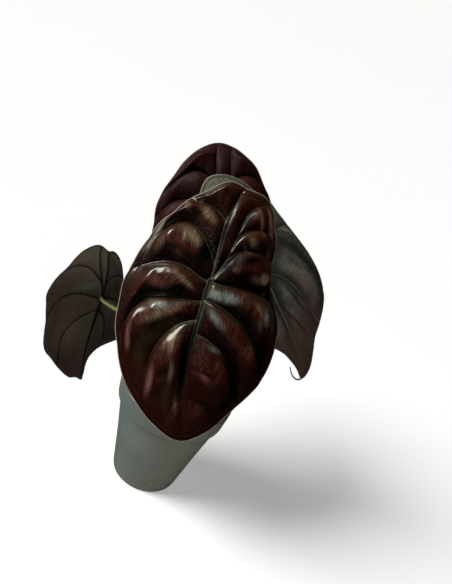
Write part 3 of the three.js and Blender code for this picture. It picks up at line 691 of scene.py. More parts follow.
# The blade of a leaf: both faces with their ribs, quilting and creases, and a rounded pale rim.
def makeBlade(name, leaf):
    draw = random.Random(leaf["seed"])
    cells, ribs = bladeCells(leaf)
    columns, grids, count = [], [], 0
    for cell in cells:
        flat, height, mask, streak = cellGrid(leaf, cell)
        grids.append(np.arange(height.size).reshape(height.shape) + count)
        count += height.size
        columns.append((flat.reshape(-1, 2), height.ravel(), mask.ravel(), streak.reshape(-1, 2)))
    flat, height, mask, streak = (np.concatenate(column) for column in zip(*columns))
    _, keep, inverse = np.unique(np.round(flat, 3), axis=0, return_index=True, return_inverse=True)
    inverse = inverse.ravel()
    flat, height, mask, streak = flat[keep], height[keep], mask[keep], streak[keep]

    wave = leaf["uneven"] * unevenness(flat, draw, *leafPlan["bladeSwells"])
    wave = mask * (wave + leaf["wrinkles"] * unevenness(flat, draw, *leafPlan["wrinkleSwells"]))
    creaseSteps = 60
    for line, wide, rise in leaf.get("creases", []):
        curve = smoothLine([(*point, 0) for point in line], creaseSteps)
        distance, index = nearest(flat, np.array([list(point) for point in curve]))
        wave += rise * softBump(distance, wide) * np.sin(math.pi * (index + 0.5) / creaseSteps)

    relief = bladeRelief(leaf, flat, ribs)
    _, beadAbove, beadBelow = leafPlan["bead"]
    middle = height + wave - leaf["collective"] * relief["collective"] - leaf["roll"] * relief["roll"]
    middle = middle - leaf["groove"] * relief["veinNear"]
    half = leafPlan["thickness"] / 2
    top = middle + half + relief["ridges"] + beadAbove * relief["bead"]
    low = middle - half - relief["below"] - beadBelow * relief["bead"]

    size = len(flat)
    faces, rimPairs = [], []

    def addFaces(corners):
        for face in corners.tolist():
            face = [index for place, index in enumerate(face) if index != face[place - 1]]
            if len(face) > 2:
                faces.append(face)

    for grid in grids:
        grid = inverse[grid]
        near, far = grid[:-1], grid[1:]
        quads = np.stack([near[:, :-1], far[:, :-1], far[:, 1:], near[:, 1:]], axis=-1).reshape(-1, 4)
        addFaces(quads)
        addFaces(quads[:, ::-1] + size)
        rimPairs.extend(zip(grid[-1, :-1].tolist(), grid[-1, 1:].tolist()))
    rimIndex = {}
    for index in (index for pair in rimPairs for index in pair):
        rimIndex.setdefault(index, 2 * size + len(rimIndex))
    for one, two in rimPairs:
        faces.append([one, rimIndex[one], rimIndex[two], two])
        faces.append([rimIndex[one], one + size, two + size, rimIndex[two]])
    rim = np.array(list(rimIndex))
    outward = flat[rim] / np.linalg.norm(flat[rim], axis=1)[:, None]

    allFlat = np.concatenate([flat, flat, flat[rim] + leafPlan["rimRound"] * outward])
    allHeight = np.concatenate([top, low, middle[rim]])
    points = placed(leaf, bentPoints(leaf, allFlat, allHeight))
    blade = meshObject(f"blade_{name}_fine", points.tolist(), faces)

    # what the material reads, as values on the upper face, on the lower one, and on the rim
    marks = {"upper": (np.ones(size), np.zeros(size), 0.5), "vein": (relief["paleVein"], relief["vein"], 0)}
    shared = {"pillow": (height + wave) / leaf["quiltMost"], "streakOn": mask}
    shared |= {kind: relief[kind] for kind in ("midrib", "veinNear", "valley")}
    # how strongly each painted sheen, highlight, shadow and tint patch shows
    shared |= {kind: patchStrength(flat, leaf.get("patches", {}).get(kind, [])) for kind in patchColours}
    marks |= {mark: (values, values, 0) for mark, values in shared.items()}
    marks["edge"] = (relief["edge"], relief["edge"], 1)
    for mark, (above, under, onRim) in marks.items():
        addAttribute(blade, mark, np.concatenate([above, under, np.full(len(rim), onRim)]))
    for mark, pairs in (("flat", allFlat), ("streak", np.concatenate([streak, streak, streak[rim]]))):
        place = blade.data.attributes.new(mark, "FLOAT_VECTOR", "POINT")
        vectors = np.column_stack([pairs, np.zeros(len(pairs))])
        place.data.foreach_set("vector", vectors.astype(np.float32).ravel())
    for polygon in blade.data.polygons:
        polygon.use_smooth = True
    normals = np.empty(3 * len(blade.data.vertices))
    blade.data.vertex_normals.foreach_get("vector", normals)
    # how far each point's surface faces the lobes, which places the painted light and shade
    addAttribute(blade, "flank", normals.reshape(-1, 3) @ np.array(leafAxes(leaf)[1]))
    return blade


# A tapering tube along a line of points: a stalk, or the thread that the right leaf's tip ends in.
def sweptTube(name, centres, radiusOf, sides, shapeOf=None):
    count = len(centres)
    before, after = [centres[0], *centres[:-1]], [*centres[1:], centres[-1]]
    tangents = [(b - a).normalized() for a, b in zip(before, after)]
    side = tangents[0].orthogonal().normalized()
    points = []
    for index, (centre, tangent) in enumerate(zip(centres, tangents)):
        side = (side - tangent * side.dot(tangent)).normalized()
        other = tangent.cross(side)
        share = index / (count - 1)
        for step in range(sides):
            angle = fullTurn * step / sides
            radius = radiusOf(share) * (shapeOf(share, angle) if shapeOf else 1)
            points.append(centre + radius * (math.cos(angle) * side + math.sin(angle) * other))
    tube = meshObject(name, points, ringFaces(count, sides))
    addAttribute(tube, "along", np.repeat(np.linspace(0, 1, count), sides))
    smoothShade(tube)
    return tube


# Living leaf: a waxy cuticle over pigmented tissue, which gives a clear gloss over a broad coppery sheen.
# A share says how much of the colour before it shows at the most.
# in each finish lit is the colour of the painted light and shade that of the painted shade
leafFinishes = {
    "front": {
        "material": "waxy maroon leaf", "hollow": "#200301", "crest": "#451208", "tint": "#45200f",
        "tintShare": 0.4, "lit": "#46331c", "litShare": 0.42, "shade": "#030000", "shadeShare": 0.95,
        "tip": "#2c0502", "tipShare": 0.6, "lobes": "#34150b", "lobesShare": 0.3, "ribs": "#1d1f15",
        "ribEdgeHighlights": "#5f6450", "veins": "#47432f", "rim": "#a39684", "under": "#4a2f33",
        "underVeins": "#2a1620", "specular": 0.1, "roughness": 0.36, "coat": 0.75,
        "coatRoughness": 0.17, "skin": 0.8,
    },
    "right": {
        "material": "satin grey-green leaf", "hollow": "#3b3b31", "crest": "#949080", "tint": "#5f594b",
        "tintShare": 0.6, "lit": "#858471", "litShare": 0.4, "shade": "#1f221c", "shadeShare": 0.75,
        "tip": "#56372c", "tipShare": 0.7, "lobes": "#70705f", "lobesShare": 0.6, "ribs": "#6c6f60",
        "ribEdgeHighlights": "#6c6f60", "veins": "#66695c", "rim": "#827f6c", "under": "#4a2f33",
        "underVeins": "#2a1620", "specular": 0.4, "roughness": 0.5, "coat": 0.2, "coatRoughness": 0.28,
        "skin": 0.7,
    },
    "back": {
        "material": "dark maroon leaf", "hollow": "#1b0201", "crest": "#2c0705", "tint": "#2e0d0a",
        "tintShare": 0.4, "lit": "#3c1f1f", "litShare": 0.45, "shade": "#060000", "shadeShare": 0.9,
        "tip": "#2a0605", "tipShare": 0.0, "lobes": "#2a0605", "lobesShare": 0.0, "ribs": "#1c0a0b",
        "ribEdgeHighlights": "#1c0a0b", "veins": "#180606", "rim": "#54443c", "under": "#4a2f33",
        "underVeins": "#2a1620", "specular": 0.08, "roughness": 0.5, "coat": 0.0, "coatRoughness": 0.22,
        "skin": 0.35,
    },
    "left": {
        "material": "matte leaf underside", "hollow": "#332016", "crest": "#5b5a50", "tint": "#4a302e",
        "tintShare": 0.3, "lit": "#5b5a50", "litShare": 0.2, "shade": "#3a332b", "shadeShare": 0.3,
        "tip": "#331a0e", "tipShare": 0.8, "lobes": "#64594c", "lobesShare": 0.9, "ribs": "#66695a",
        "ribEdgeHighlights": "#66695a", "veins": "#606252", "rim": "#3d342a", "under": "#4b3b27",
        "underVeins": "#0c0508", "specular": 0.4, "roughness": 0.6, "coat": 0.0, "coatRoughness": 0.3,
        "skin": 0.35,
    },
}


def leafMaterial(finish):
    material, tree = startMaterial(finish["material"])
    marks = ("upper", "pillow", "streakOn", "flank", "valley", "veinNear", "dark", "vein", "midrib", "edge")
    upper, pillow, streakOn, flank, valley, veinNear, dark, vein, midrib, edge = (
        addNode(tree, "Attribute", {}, "Fac", attribute_name=mark) for mark in marks)
    flat, streak = (
        addNode(tree, "Attribute", {}, "Vector", attribute_name=mark) for mark in ("flat", "streak"))
    across = addNode(tree, "Mapping", {"Vector": streak, "Scale": (0.9, 0.12, 1.0)})
    cloud, mottle, grain, threads = (
        addNode(tree, "TexNoise", {"Vector": place, "Scale": scale, "Detail": detail, "Roughness": rough})
        for place, scale, detail, rough in (
            (flat, 0.065, 4.0, 0.6),  # cloudy pigment, in patches of about 15 mm
            (flat, 0.35, 5.0, 0.65),  # a finer one of about 3 mm, which breaks it up
            (flat, 0.95, 2.5, 0.5),  # single cells and pores, drawn about 1 mm wide so that they show
            (across, 1.0, 2.0, 0.5),  # the finest veins, from rib to rib, about 1.1 mm apart
        ))

    # lighter on the quilting's crests and darker in its hollows: a painted sheen on the crests and painted
    # shade in the hollows
    body = layOver(tree, finish["hollow"], finish["crest"], pillow, 0.1, 0.9)
    body = layOver(tree, body, finish["tint"], cloud, 0.5, 0.7, most=finish["tintShare"])
    body = layOver(tree, body, finish["hollow"], mottle, 0.35, 0.75, most=0.5)
    body = layOver(tree, body, finish["veins"], threads, 0.52, 0.62, most=0.45, where=streakOn)
    body = layOver(tree, body, finish["shade"], threads, 0.5, 0.4, most=0.45, where=streakOn)
    # painted light on the slopes that face the lobes, and painted shade, nearly black, on those that face
    # the tip
    body = layOver(tree, body, finish["lit"], flank, 0.05, 0.5, most=finish["litShare"])
    body = layOver(tree, body, finish["shade"], flank, -0.05, -0.4, most=finish["shadeShare"])
    # painted shade beside the ribs on the slopes turned from the lobes, and a painted shade along every rib
    body = layOver(tree, body, finish["shade"], flank, 0.15, -0.15, most=finish["shadeShare"], where=valley)
    ribShade = addNode(tree, "Math", {0: veinNear, 1: 0.5}, operation="MULTIPLY")
    body = layOver(tree, body, finish["shade"], ribShade)
    under = layOver(tree, finish["under"], finish["hollow"], mottle, 0.3, 0.8, most=0.6)
    colour = layOver(tree, under, body, upper)
    # the colour shifts to one tone towards the tip and to another towards the lobes
    lengthways = addNode(tree, "SeparateXYZ", {"Vector": flat}, "Y")
    wander = addNode(tree, "Math", {0: cloud, 1: 40.0, 2: lengthways}, operation="MULTIPLY_ADD")
    colour = layOver(tree, colour, finish["tip"], wander, 0.0, -45.0, most=finish["tipShare"])
    colour = layOver(tree, colour, finish["lobes"], wander, 20.0, 60.0, most=finish["lobesShare"])
    colour = layOver(tree, colour, finish["shade"], grain, 0.5, 0.7, most=0.6)
    colour = layOver(tree, colour, finish["lit"], grain, 0.48, 0.3, most=0.3)
    # the patches, painted sheen, highlights and shadow, and olive tints, are combed by the finest veins
    combs = shareOf(tree, threads, 0.35, 0.6, 0.45)
    for kind, patchColour in patchColours.items():
        patch = dark if kind == "dark" else addNode(tree, "Attribute", {}, "Fac", attribute_name=kind)
        colour = layOver(tree, colour, patchColour, patch, 0.1, 1.0, most=0.9, where=combs)
    # where the dark patches lie the skin is nearly black and dull: a painted shadow, with the coat taken
    # down
    paintedShadow = shareOf(tree, dark, 0.15, 0.8)
    colour = layOver(tree, colour, patchColours["dark"], paintedShadow)
    coated = addNode(tree, "Math", {0: upper, 1: finish["coat"]}, operation="MULTIPLY")
    coat = shareOf(tree, paintedShadow, 0.0, 1.0, 1.0, 0.1, where=coated)
    # the ribs, which fade towards the tip, with painted highlights along the midrib's edges near the pole,
    # their veins, and the pale rim
    edgeFade = shareOf(tree, lengthways, -75.0, -25.0, 0.15)
    ribFade = shareOf(tree, lengthways, -90.0, -35.0, 0.25)
    ribTop = layOver(tree, finish["ribs"], finish["ribEdgeHighlights"], midrib, 0.8, 0.15, where=edgeFade)
    ribColour = layOver(tree, finish["underVeins"], ribTop, upper)
    veinColour = layOver(tree, finish["underVeins"], finish["veins"], upper)
    colour = layOver(tree, colour, veinColour, vein, 0.05, 0.6, most=0.85)
    colour = layOver(tree, colour, ribColour, midrib, 0.02, 0.5, where=ribFade)
    colour = layOver(tree, colour, finish["rim"], edge, 0.35, 0.9)

    # threads and a soft unevenness of about 3 mm break up the gloss
    combed = addNode(tree, "Math", {0: threads, 1: streakOn}, operation="MULTIPLY")
    fine = addNode(tree, "Bump", {"Height": combed, "Strength": finish["skin"], "Distance": 0.0008})
    uneven = addNode(tree, "Bump", {
        "Height": mottle, "Strength": finish["skin"], "Distance": 0.0012, "Normal": fine})
    least, most = finish["roughness"] - 0.06, finish["roughness"] + 0.1
    return finishMaterial(material, {
        "Base Color": colour, "Normal": uneven, "Roughness": shareOf(tree, mottle, 0.2, 0.8, least, most),
        "Specular IOR Level": finish["specular"], "Coat Weight": coat,
        "Coat Roughness": finish["coatRoughness"],
    })


# The right leaf's tip runs out into a thread: its radius at its start, what it loses, and its sides
threadPlan = {"radius": 0.75, "thins": 0.3, "sides": 12, "rings": 40}

for name, leaf in leaves.items():
    blade = makeBlade(name, leaf)
    if "dripTip" in leaf:
        route = np.array(leaf["dripTip"], float)
        line = smoothLine(placed(leaf, bentPoints(leaf, route, np.zeros(len(route)))), threadPlan["rings"])
        thread = sweptTube(
            "drip_tip", line, lambda share: (threadPlan["radius"] - threadPlan["thins"] * share) * mm,
            threadPlan["sides"])
        activate(thread)
        blade.select_set(True)
        bpy.context.view_layer.objects.active = blade
        bpy.ops.object.join()
    declare(blade, leafMaterial(leafFinishes[name]), f"blade_{name}")
    print("blade", name, len(blade.data.polygons), "faces")


# Petioles: smooth stalks, pale green below the leaves and flushed with purple brown lower down

petiolePlan = {
    "tipRadius": 1.15,
    "baseRadius": 3.1,
    "swelling": (0.25, 0.02),  # where it meets the blade: how much, and over what share of the stalk
    "channel": (0.1, 6, 4),  # along the upper side: its depth, how narrow it is, and how soon it starts
    "underBlade": 0.9,  # where the stalk's line ends, below the blade's mid-surface
    "sides": 24,
    "rings": 90,
    "colours": {"foot": "#a09a6c", "flush": "#5a4636", "green": "#8f9c5a", "streaks": "#4c3a30"},
    "routes": {
        "front": {"from": (-0.5, -6.4, 76), "handles": [(-6, -11, 125), (-9, -8, 170)], "reach": 6},
        "right": {"from": (6.2, -0.5, 76), "handles": [(11, 10, 120), (12, 26, 165)], "reach": 9},
        "back": {"from": (-1.5, 6.4, 76), "handles": [(-13, 31, 108), (-22, 62, 158)], "reach": 9},
        "left": {"from": (-6.4, 0.3, 76), "handles": [(-12, 2, 112), (-40, 5, 119)], "reach": 4},
    },
}


def petioleMaterial():
    material, tree = startMaterial("fleshy green stalk")
    colours = petiolePlan["colours"]
    along = addNode(tree, "Attribute", {}, "Fac", attribute_name="along")
    place = addNode(tree, "TexCoord", {}, "Object")
    # fine streaks along the stalk, about 0.6 mm wide
    stretched = addNode(tree, "Mapping", {"Vector": place, "Scale": (1600.0, 1600.0, 90.0)})
    streaks = addNode(tree, "TexNoise", {"Vector": stretched, "Scale": 1.0, "Detail": 3.0})
    colour = layOver(tree, colours["foot"], colours["flush"], along, 0.0, 0.16)
    colour = layOver(tree, colour, colours["green"], along, 0.3, 0.85)
    colour = layOver(tree, colour, colours["streaks"], streaks, 0.45, 0.75, most=0.45)
    return finishMaterial(material, {
        "Base Color": colour, "Roughness": shareOf(tree, streaks, 0.3, 0.8, 0.34, 0.5),
        "Subsurface Weight": 0.12, "Subsurface Scale": 0.001,
        "Normal": addNode(tree, "Bump", {"Height": streaks, "Strength": 0.3, "Distance": 0.0003}),
    })


def stalkRadius(share):
    plan = petiolePlan
    most, over = plan["swelling"]
    swelling = most * math.exp(-(((1 - share) / over) ** 2))
    return (plan["baseRadius"] + (plan["tipRadius"] - plan["baseRadius"]) * share + swelling) * mm


def stalkShape(share, angle):
    depth, narrow, start = petiolePlan["channel"]
    return 1 - depth * max(0.0, math.cos(angle)) ** narrow * min(1.0, share * start)


stalkMaterial = petioleMaterial()
for name, route in petiolePlan["routes"].items():
    normal = leafAxes(leaves[name])[2]
    pole = Vector(leaves[name]["pole"])
    through = [route["from"], *route["handles"]]
    through += [pole - normal * route["reach"], pole - normal * petiolePlan["underBlade"]]
    line = [point * mm for point in smoothLine(through, petiolePlan["rings"])]
    stalk = sweptTube(f"petiole_{name}_fine", line, stalkRadius, petiolePlan["sides"], stalkShape)
    declare(stalk, stalkMaterial, f"petiole_{name}")
print("petioles made")


# Pot: a round moulded nursery pot with a band at its rim

potPlan = {
    "height": 86,
    "rimRadius": 43.2,
    "baseRadius": 26.2,
    "wall": 1.2,
    "bandHeight": 16,
    "bandStep": 2.2,
    "bandFlare": 1.6,
    "floor": 1.6,
    "poleRadius": 3,  # of the middle face of the floor
    "drainHoles": 6,
    "drainRadius": 3,
    "drainCircle": 17,
    "sides": 128,
    "colours": {
        "shaded": "#5a625d", "lit": "#6e7062", "bloom": "#8a8f86", "flow": "#555a52", "grain": "#3c403a",
        "specks": "#3a2a22", "scuffs": "#35281d", "grooveShade": "#1d1a15",
    },
    # specks of soil rubbed into the wall: middle, slope from level in degrees, half sizes
    "scuffs": [((10.5, -27, 15.5), 55, (14, 10, 1.5)), ((25, -28, 65.8), 0, (10, 14, 1.8))],
}


# Extrudes the selected ring of vertices to a new radius and height, in millimetres.
def extrudeRing(fromRadius, toRadius, rise):
    bpy.ops.mesh.extrude_region_move(TRANSFORM_OT_translate={"value": (0, 0, rise * mm)})
    scale = toRadius / fromRadius
    bpy.ops.transform.resize(value=(scale, scale, 1), center_override=(0, 0, 0))


def makePot():
    height, rim, base, wall, floor, pole = (
        potPlan[name] for name in ("height", "rimRadius", "baseRadius", "wall", "floor", "poleRadius"))
    bandBottom = height - potPlan["bandHeight"]
    band = rim - potPlan["bandFlare"]
    wallTop = band - potPlan["bandStep"]
    profile = [
        # the underside and its foot ring
        (pole, 0), (base - 5.2, 0), (base - 4.7, 0.35), (base - 2.6, 0.35), (base - 2.1, 0),
        (base - 1.2, 0), (base - 0.3, 0.35), (base, 1.4), (base + 0.7, 4.6), (base + 0.8, 5.2),
        # the wall, the step under the band and the band
        (base + 6.2, bandBottom * 0.5), (wallTop - 0.35, bandBottom - 2.4),
        (wallTop - 0.3, bandBottom - 0.5), (wallTop, bandBottom - 0.1), (band - 0.5, bandBottom + 0.1),
        (band - 0.12, bandBottom + 0.35), (band, bandBottom + 0.9), (band + 0.45, bandBottom + 4.4),
        # the rounded rim
        (rim, height - 0.8), (rim - 0.15, height - 0.25), (rim - 0.5, height), (rim - wall + 0.3, height),
        # the inside
        (rim - wall, height - 0.4), (band - wall, bandBottom + wall), (wallTop - wall, bandBottom + 0.4),
        (base + 5, bandBottom * 0.5), (base - wall + 0.6, floor + 0.8), (base - wall - 0.4, floor),
        (pole, floor),
    ]
    bpy.ops.mesh.primitive_circle_add(vertices=potPlan["sides"], radius=pole * mm)
    pot = bpy.context.object
    pot.name = "nursery_pot"
    bpy.ops.object.mode_set(mode="EDIT")
    bpy.ops.mesh.select_all(action="SELECT")
    for (radius, level), (nextRadius, nextLevel) in zip(profile, profile[1:]):
        extrudeRing(radius, nextRadius, nextLevel - level)
    bpy.ops.mesh.fill()
    bpy.ops.mesh.select_all(action="DESELECT")
    bpy.ops.mesh.select_non_manifold()
    bpy.ops.mesh.fill()
    bpy.ops.mesh.select_all(action="SELECT")
    bpy.ops.mesh.normals_make_consistent(inside=False)
    bpy.ops.object.mode_set(mode="OBJECT")
    circle, middle, depth = potPlan["drainCircle"] * mm, 0.5 * floor * mm, 5 * floor * mm
    for hole in range(potPlan["drainHoles"]):
        angle = fullTurn * hole / potPlan["drainHoles"]
        place = (circle * math.cos(angle), circle * math.sin(angle), middle)
        bpy.ops.mesh.primitive_cylinder_add(
            vertices=32, radius=potPlan["drainRadius"] * mm, depth=depth, location=place)
        cutter = bpy.context.object
        activate(pot)
        cut = pot.modifiers.new("drain", "BOOLEAN")
        cut.object, cut.operation, cut.solver = cutter, "DIFFERENCE", "EXACT"
        bpy.ops.object.modifier_apply(modifier=cut.name)
        bpy.data.objects.remove(cutter)
    smoothShade(pot, 35)
    return pot


# Polypropylene, injection moulded: a fine satin skin with faint flow streaks, scuffs and specks of soil.
def potMaterial():
    material, tree = startMaterial("moulded grey polypropylene")
    colours = potPlan["colours"]
    place = addNode(tree, "TexCoord", {}, "Object")
    x, height = (addNode(tree, "SeparateXYZ", {"Vector": place}, axis) for axis in "XZ")
    stretched = addNode(tree, "Mapping", {"Vector": place, "Scale": (260.0, 260.0, 22.0)})
    grain, cloud, patches, flow = (
        addNode(tree, "TexNoise", {"Vector": vector, "Scale": scale, "Detail": detail})
        for vector, scale, detail in (
            (place, 2200.0, 2.0), (place, 38.0, 5.0), (place, 60.0, 3.0), (stretched, 1.0, 4.0)))
    specks, crumbs = (
        addNode(tree, "TexVoronoi", {"Vector": place, "Scale": scale}, "Distance")
        for scale in (320.0, 620.0))
    # one side of the wall is painted lighter and warmer, and the other in a cooler, darker painted shade
    colour = layOver(tree, colours["shaded"], colours["lit"], x, -0.03, 0.025)
    colour = layOver(tree, colour, colours["bloom"], cloud, 0.35, 0.7, most=0.12)
    colour = layOver(tree, colour, colours["flow"], flow, 0.45, 0.8, most=0.3)
    colour = layOver(tree, colour, colours["grain"], grain, 0.5, 0.75, most=0.35)
    dirty = shareOf(tree, patches, 0.56, 0.68, most=0.8)
    colour = layOver(tree, colour, colours["specks"], specks, 0.16, 0.08, where=dirty)
    crumbly = shareOf(tree, crumbs, 0.5, 0.3, most=0.9)
    for middle, slope, size in potPlan["scuffs"]:
        local = addNode(tree, "Mapping", {
            "Vector": place, "Location": Vector(middle) * mm, "Rotation": (0.0, math.radians(-slope), 0.0),
            "Scale": Vector(size) * mm}, vector_type="TEXTURE")
        reach = addNode(tree, "VectorMath", {0: local}, "Value", operation="LENGTH")
        colour = layOver(tree, colour, colours["scuffs"], reach, 1.0, 0.4, where=crumbly)
    # a dark line along the groove under the band is a painted shade, broken up by noise
    uneven = shareOf(tree, cloud, 0.3, 0.6, 0.55, 0.95)
    belowBand = shareOf(tree, height, 0.0706, 0.07, where=uneven)
    colour = layOver(tree, colour, colours["grooveShade"], height, 0.0684, 0.0691, where=belowBand)
    return finishMaterial(material, {
        "Base Color": colour, "Roughness": shareOf(tree, flow, 0.3, 0.8, 0.42, 0.56), "IOR": 1.49,
        "Normal": addNode(tree, "Bump", {"Height": grain, "Strength": 0.12, "Distance": 0.0001}),
    })


pot = makePot()
declare(pot, potMaterial(), "pot")
print("pot made:", len(pot.data.polygons), "faces")


# Soil: dark potting mix, with bark chips and a little perlite lying on it

soilPlan = {
    "top": 70,
    "bottom": 1.9,
    "clearOfWall": 0.4,
    "holeRadius": 7.3,
    "sides": 160,
    "rings": 56,  # across the top
    "edgeFall": (0.4, 2),  # of the top's edge: how far in, and how far down
    "waves": 26,
    "waveHeight": 0.22,
    "wavePitch": (0.15, 1.1),
    "clearOfCrown": 4,
    "clearOfEdge": 1,
    "sunk": 0.25,  # how much of its size a chip lies above the soil
    "seed": 21,
    # dark and light colours, and the crumbs' size
    "peatLook": ("#1b120d", "#3a2a20", 2.5),
    "barkLook": ("#2a1a12", "#5a3f2c", 1.5),
    "perliteLook": ("#b8b2a4", "#e6e2d8", 1.0),
    # how many lie on the soil, their half sizes, and their thickness as a share of that
    "chips": (420, (0.6, 2.6), (0.3, 0.6)),
    "perlite": (60, (0.5, 1.3), (0.7, 1.0)),
}


def soilWallRadius(height):
    wallTop = potPlan["rimRadius"] - potPlan["bandFlare"] - potPlan["bandStep"]
    share = height / (potPlan["height"] - potPlan["bandHeight"])
    outside = potPlan["baseRadius"] + (wallTop - potPlan["baseRadius"]) * share
    return outside - potPlan["wall"] - soilPlan["clearOfWall"]


def makeSoil():
    draw = random.Random(soilPlan["seed"])
    top, bottom, hole, sides, across = (
        soilPlan[name] for name in ("top", "bottom", "holeRadius", "sides", "rings"))
    waves = [
        (draw.uniform(*soilPlan["wavePitch"]), draw.uniform(0, fullTurn), draw.uniform(0, fullTurn))
        for _ in range(soilPlan["waves"])
    ]

    def roughness(x, y):
        rise = 0.0
        for pitch, heading, phase in waves:
            swell = math.sin(pitch * (x * math.cos(heading) + y * math.sin(heading)) + phase)
            rise += soilPlan["waveHeight"] / (0.4 + pitch) * swell
        return rise

    edgeIn, edgeDown = soilPlan["edgeFall"]
    topRadius = soilWallRadius(top) - edgeIn
    rings = [(hole, bottom), *((soilWallRadius(level), level) for level in (bottom, top - edgeDown))]
    smoothRings = len(rings)
    rings += [(topRadius + (hole - topRadius) * step / across, top) for step in range(across + 1)]
    points = []
    for number, (radius, height) in enumerate(rings):
        for side in range(sides):
            angle = fullTurn * side / sides
            x, y = radius * math.cos(angle), radius * math.sin(angle)
            rise = roughness(x, y) if number >= smoothRings else 0
            points.append((x * mm, y * mm, (height + rise) * mm))
    soil = meshObject("potting_mix", points, ringFaces(len(rings), sides, closedRound=True))
    smoothShade(soil)
    nearest, clearOfEdge = hole + soilPlan["clearOfCrown"], soilPlan["clearOfEdge"]

    def scatter(name, count, sizes, flatness):
        made = bmesh.new()
        for _ in range(count):
            size = draw.uniform(*sizes)
            room = topRadius - clearOfEdge - nearest - 2 * size
            reach = nearest + size + room * math.sqrt(draw.random())
            angle = draw.uniform(0, fullTurn)
            x, y = reach * math.cos(angle), reach * math.sin(angle)
            turn = Matrix.Rotation(draw.uniform(0, 6.3), 4, "Z")
            tilt = Matrix.Rotation(draw.uniform(-0.5, 0.5), 4, "X")
            width, thickness = size * draw.uniform(0.5, 0.9), size * draw.uniform(*flatness)
            lift = (top + roughness(x, y) + soilPlan["sunk"] * size) * mm
            place = Matrix.Translation((x * mm, y * mm, lift)) @ (turn @ tilt)
            place = place @ Matrix.Diagonal((size, width, thickness, 1))
            lump = bmesh.ops.create_icosphere(made, subdivisions=1, radius=mm)
            for vertex in lump["verts"]:
                vertex.co *= draw.uniform(0.75, 1.2)
            bmesh.ops.transform(made, matrix=place, verts=lump["verts"])
        mesh = bpy.data.meshes.new(name)
        made.to_mesh(mesh)
        made.free()
        piece = bpy.data.objects.new(name, mesh)
        bpy.context.scene.collection.objects.link(piece)
        return piece

    return soil, scatter("bark_chips", *soilPlan["chips"]), scatter("perlite_beads", *soilPlan["perlite"])


# Peat and coir, damp: nearly black, crumbly and quite dull.
def soilMaterial(name, dark, light, size):
    material, tree = startMaterial(name)
    place = addNode(tree, "TexCoord", {}, "Object")
    crumbs = addNode(tree, "TexNoise", {"Vector": place, "Scale": 1 / (size * mm), "Detail": 6.0})
    return finishMaterial(material, {
        "Base Color": layOver(tree, dark, light, crumbs, 0.35, 0.7), "Roughness": 0.92,
        "Normal": addNode(tree, "Bump", {"Height": crumbs, "Strength": 0.8, "Distance": 0.0008}),
    })


soil, chips, perlite = makeSoil()
declare(soil, soilMaterial("damp peat", *soilPlan["peatLook"]), "soil")
declare(chips, soilMaterial("composted bark", *soilPlan["barkLook"]), "soil")
declare(perlite, soilMaterial("perlite", *soilPlan["perliteLook"]), "soil")
print("soil made")


# Crown: a short stem wrapped in the old, papery bases of the stalks

crownPlan = {
    "radius": 11,
    "top": 86,
    "soilLevel": 71,
    "neckRadius": 6.6,
    "plugRadius": 6.8,
    "bottom": 48,
    "rings": 60,
    "sides": 96,
    "wraps": 5,
    "wrapTurn": 0.03,  # of a wrap, for each millimetre up
    "wrapEdge": 0.45,
    "fibres": 60,
    "fibreHeight": 0.07,
    "colours": {"sheath": "#8a8256", "fibres": "#5a4630", "dry": "#4a3024"},
}


def makeCrown():
    plan = crownPlan
    points = []
    for step in range(plan["rings"] + 1):
        level = plan["bottom"] + (plan["top"] - plan["bottom"]) * step / plan["rings"]
        rise = (level - plan["soilLevel"]) / (plan["top"] - plan["soilLevel"])
        radius, edge = plan["plugRadius"], 0
        if rise > 0:
            swell = math.sin(math.pi * min(1.0, rise * 0.9 + 0.05)) ** 0.6
            radius = plan["neckRadius"] + (plan["radius"] - plan["neckRadius"] - 0.5) * swell
            edge = plan["wrapEdge"]
        for side in range(plan["sides"]):
            angle = fullTurn * side / plan["sides"]
            wrap = (angle / fullTurn * plan["wraps"] + level * plan["wrapTurn"]) % 1
            reach = radius + edge * wrap + plan["fibreHeight"] * math.sin(plan["fibres"] * angle)
            points.append((reach * math.cos(angle) * mm, reach * math.sin(angle) * mm, level * mm))
    crown = meshObject("sheathed_crown", points, ringFaces(plan["rings"] + 1, plan["sides"]))
    smoothShade(crown, 50)
    return crown


# Living sheath bases with dry brown edges: fibrous, half matte.
def crownMaterial():
    material, tree = startMaterial("papery stalk sheath")
    colours = crownPlan["colours"]
    place = addNode(tree, "TexCoord", {}, "Object")
    stretched = addNode(tree, "Mapping", {"Vector": place, "Scale": (900.0, 900.0, 70.0)})
    fibres = addNode(tree, "TexNoise", {"Vector": stretched, "Scale": 1.0, "Detail": 4.0})
    cloud = addNode(tree, "TexNoise", {"Vector": place, "Scale": 180.0, "Detail": 3.0})
    colour = layOver(tree, colours["sheath"], colours["fibres"], fibres, 0.3, 0.75)
    return finishMaterial(material, {
        "Base Color": layOver(tree, colour, colours["dry"], cloud, 0.5, 0.65), "Roughness": 0.6,
        "Normal": addNode(tree, "Bump", {"Height": fibres, "Strength": 0.5, "Distance": 0.0004}),
    })


declare(makeCrown(), crownMaterial(), "crown")
print("crown made")


# Stage: a pale floor, a soft box overhead and a weak fill, seen as the photographer stood

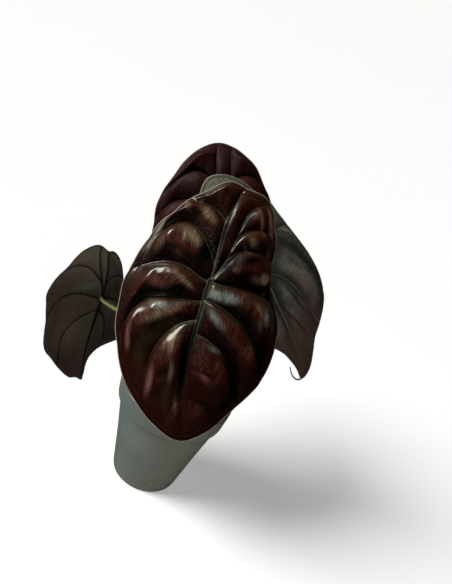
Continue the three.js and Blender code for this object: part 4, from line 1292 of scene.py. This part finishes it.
stagePlan = {
    "floorSize": 80,
    "floorBelow": 0.0002,  # the pot's underside, so that the two don't flicker
    "floorColours": ("#f2f1ef", "#f6f5f4"),
    "floorGlow": 0.34,
    "worldColour": "#fafaf8",
    "camera": (4.178, -374.663, 364.527),
    "right": (0.91775, 0.18030, 0.35386),
    "up": (-0.39715, 0.41665, 0.81773),
    "forward": (0.0, 0.89101, -0.45399),
    "lens": 38.2,
    # the soft sky overhead: where it comes from, its width in degrees and its power
    "sky": ((-0.745, -0.218, 0.63), 30, 3.6),
    # lamps: place, aim, size, power, colour, and whether only gloss shows them
    "lamps": {
        "front fill": ((0.9, -1.6, 0.9), (0, 0, 0.12), (1.2, 1.2), 3, "#ffffff", False),
        "warm card": ((-0.85, -0.3, 0.85), (0, 0, 0.17), (0.8, 0.8), 3.5, "#ffd9a0", True),
        "window card": ((-0.72, -0.05, 0.95), (0, 0, 0.17), (0.2, 0.35), 4, "#eafff6", True),
    },
}

bpy.ops.mesh.primitive_plane_add(size=stagePlan["floorSize"], location=(0, 0, -stagePlan["floorBelow"]))
floor = bpy.context.object
floor.name = "floor"
paper, tree = startMaterial("pale paper sweep")
cloud = addNode(tree, "TexNoise", {"Vector": addNode(tree, "TexCoord", {}, "Object"), "Scale": 3.0})
floor.data.materials.append(finishMaterial(paper, {
    "Base Color": layOver(tree, *stagePlan["floorColours"], cloud), "Roughness": 0.9,
    "Emission Color": "#ffffff", "Emission Strength": stagePlan["floorGlow"],
}))
floor.visible_glossy = False

world = bpy.data.worlds.new("studio")
bpy.context.scene.world = world
world.use_nodes = True
background = world.node_tree.nodes["Background"].inputs
background["Color"].default_value = linear(stagePlan["worldColour"])
background["Strength"].default_value = 1.0
world.cycles_visibility.glossy = False
world.cycles_visibility.diffuse = False

comesFrom, width, power = stagePlan["sky"]
bpy.ops.object.light_add(type="SUN", location=(0, 0, 2))
sky = bpy.context.object
sky.name = "overhead sky"
sky.data.energy, sky.data.angle = power, math.radians(width)
sky.rotation_euler = Vector(comesFrom).to_track_quat("Z", "Y").to_euler()
for name, (place, aim, size, power, colour, onlyGloss) in stagePlan["lamps"].items():
    bpy.ops.object.light_add(type="AREA", location=place)
    lamp = bpy.context.object
    lamp.name = name
    lamp.data.shape = "RECTANGLE"
    lamp.data.size, lamp.data.size_y = size
    lamp.data.energy, lamp.data.color = power, linear(colour)[:3]
    lamp.rotation_euler = (Vector(aim) - Vector(place)).to_track_quat("-Z", "Y").to_euler()
    lamp.visible_glossy, lamp.visible_diffuse = onlyGloss, not onlyGloss

bpy.ops.object.camera_add()
camera = bpy.context.object
axes = [Vector(stagePlan["right"]), Vector(stagePlan["up"]), -Vector(stagePlan["forward"])]
turn = Matrix(axes).transposed().to_4x4()
camera.matrix_world = Matrix.Translation(Vector(stagePlan["camera"]) * mm) @ turn
camera.data.lens = stagePlan["lens"]
camera.data.sensor_width = 36
camera.data.clip_start = 0.01
bpy.context.scene.camera = camera
bpy.context.scene.view_settings.view_transform = "Standard"
print("stage set")
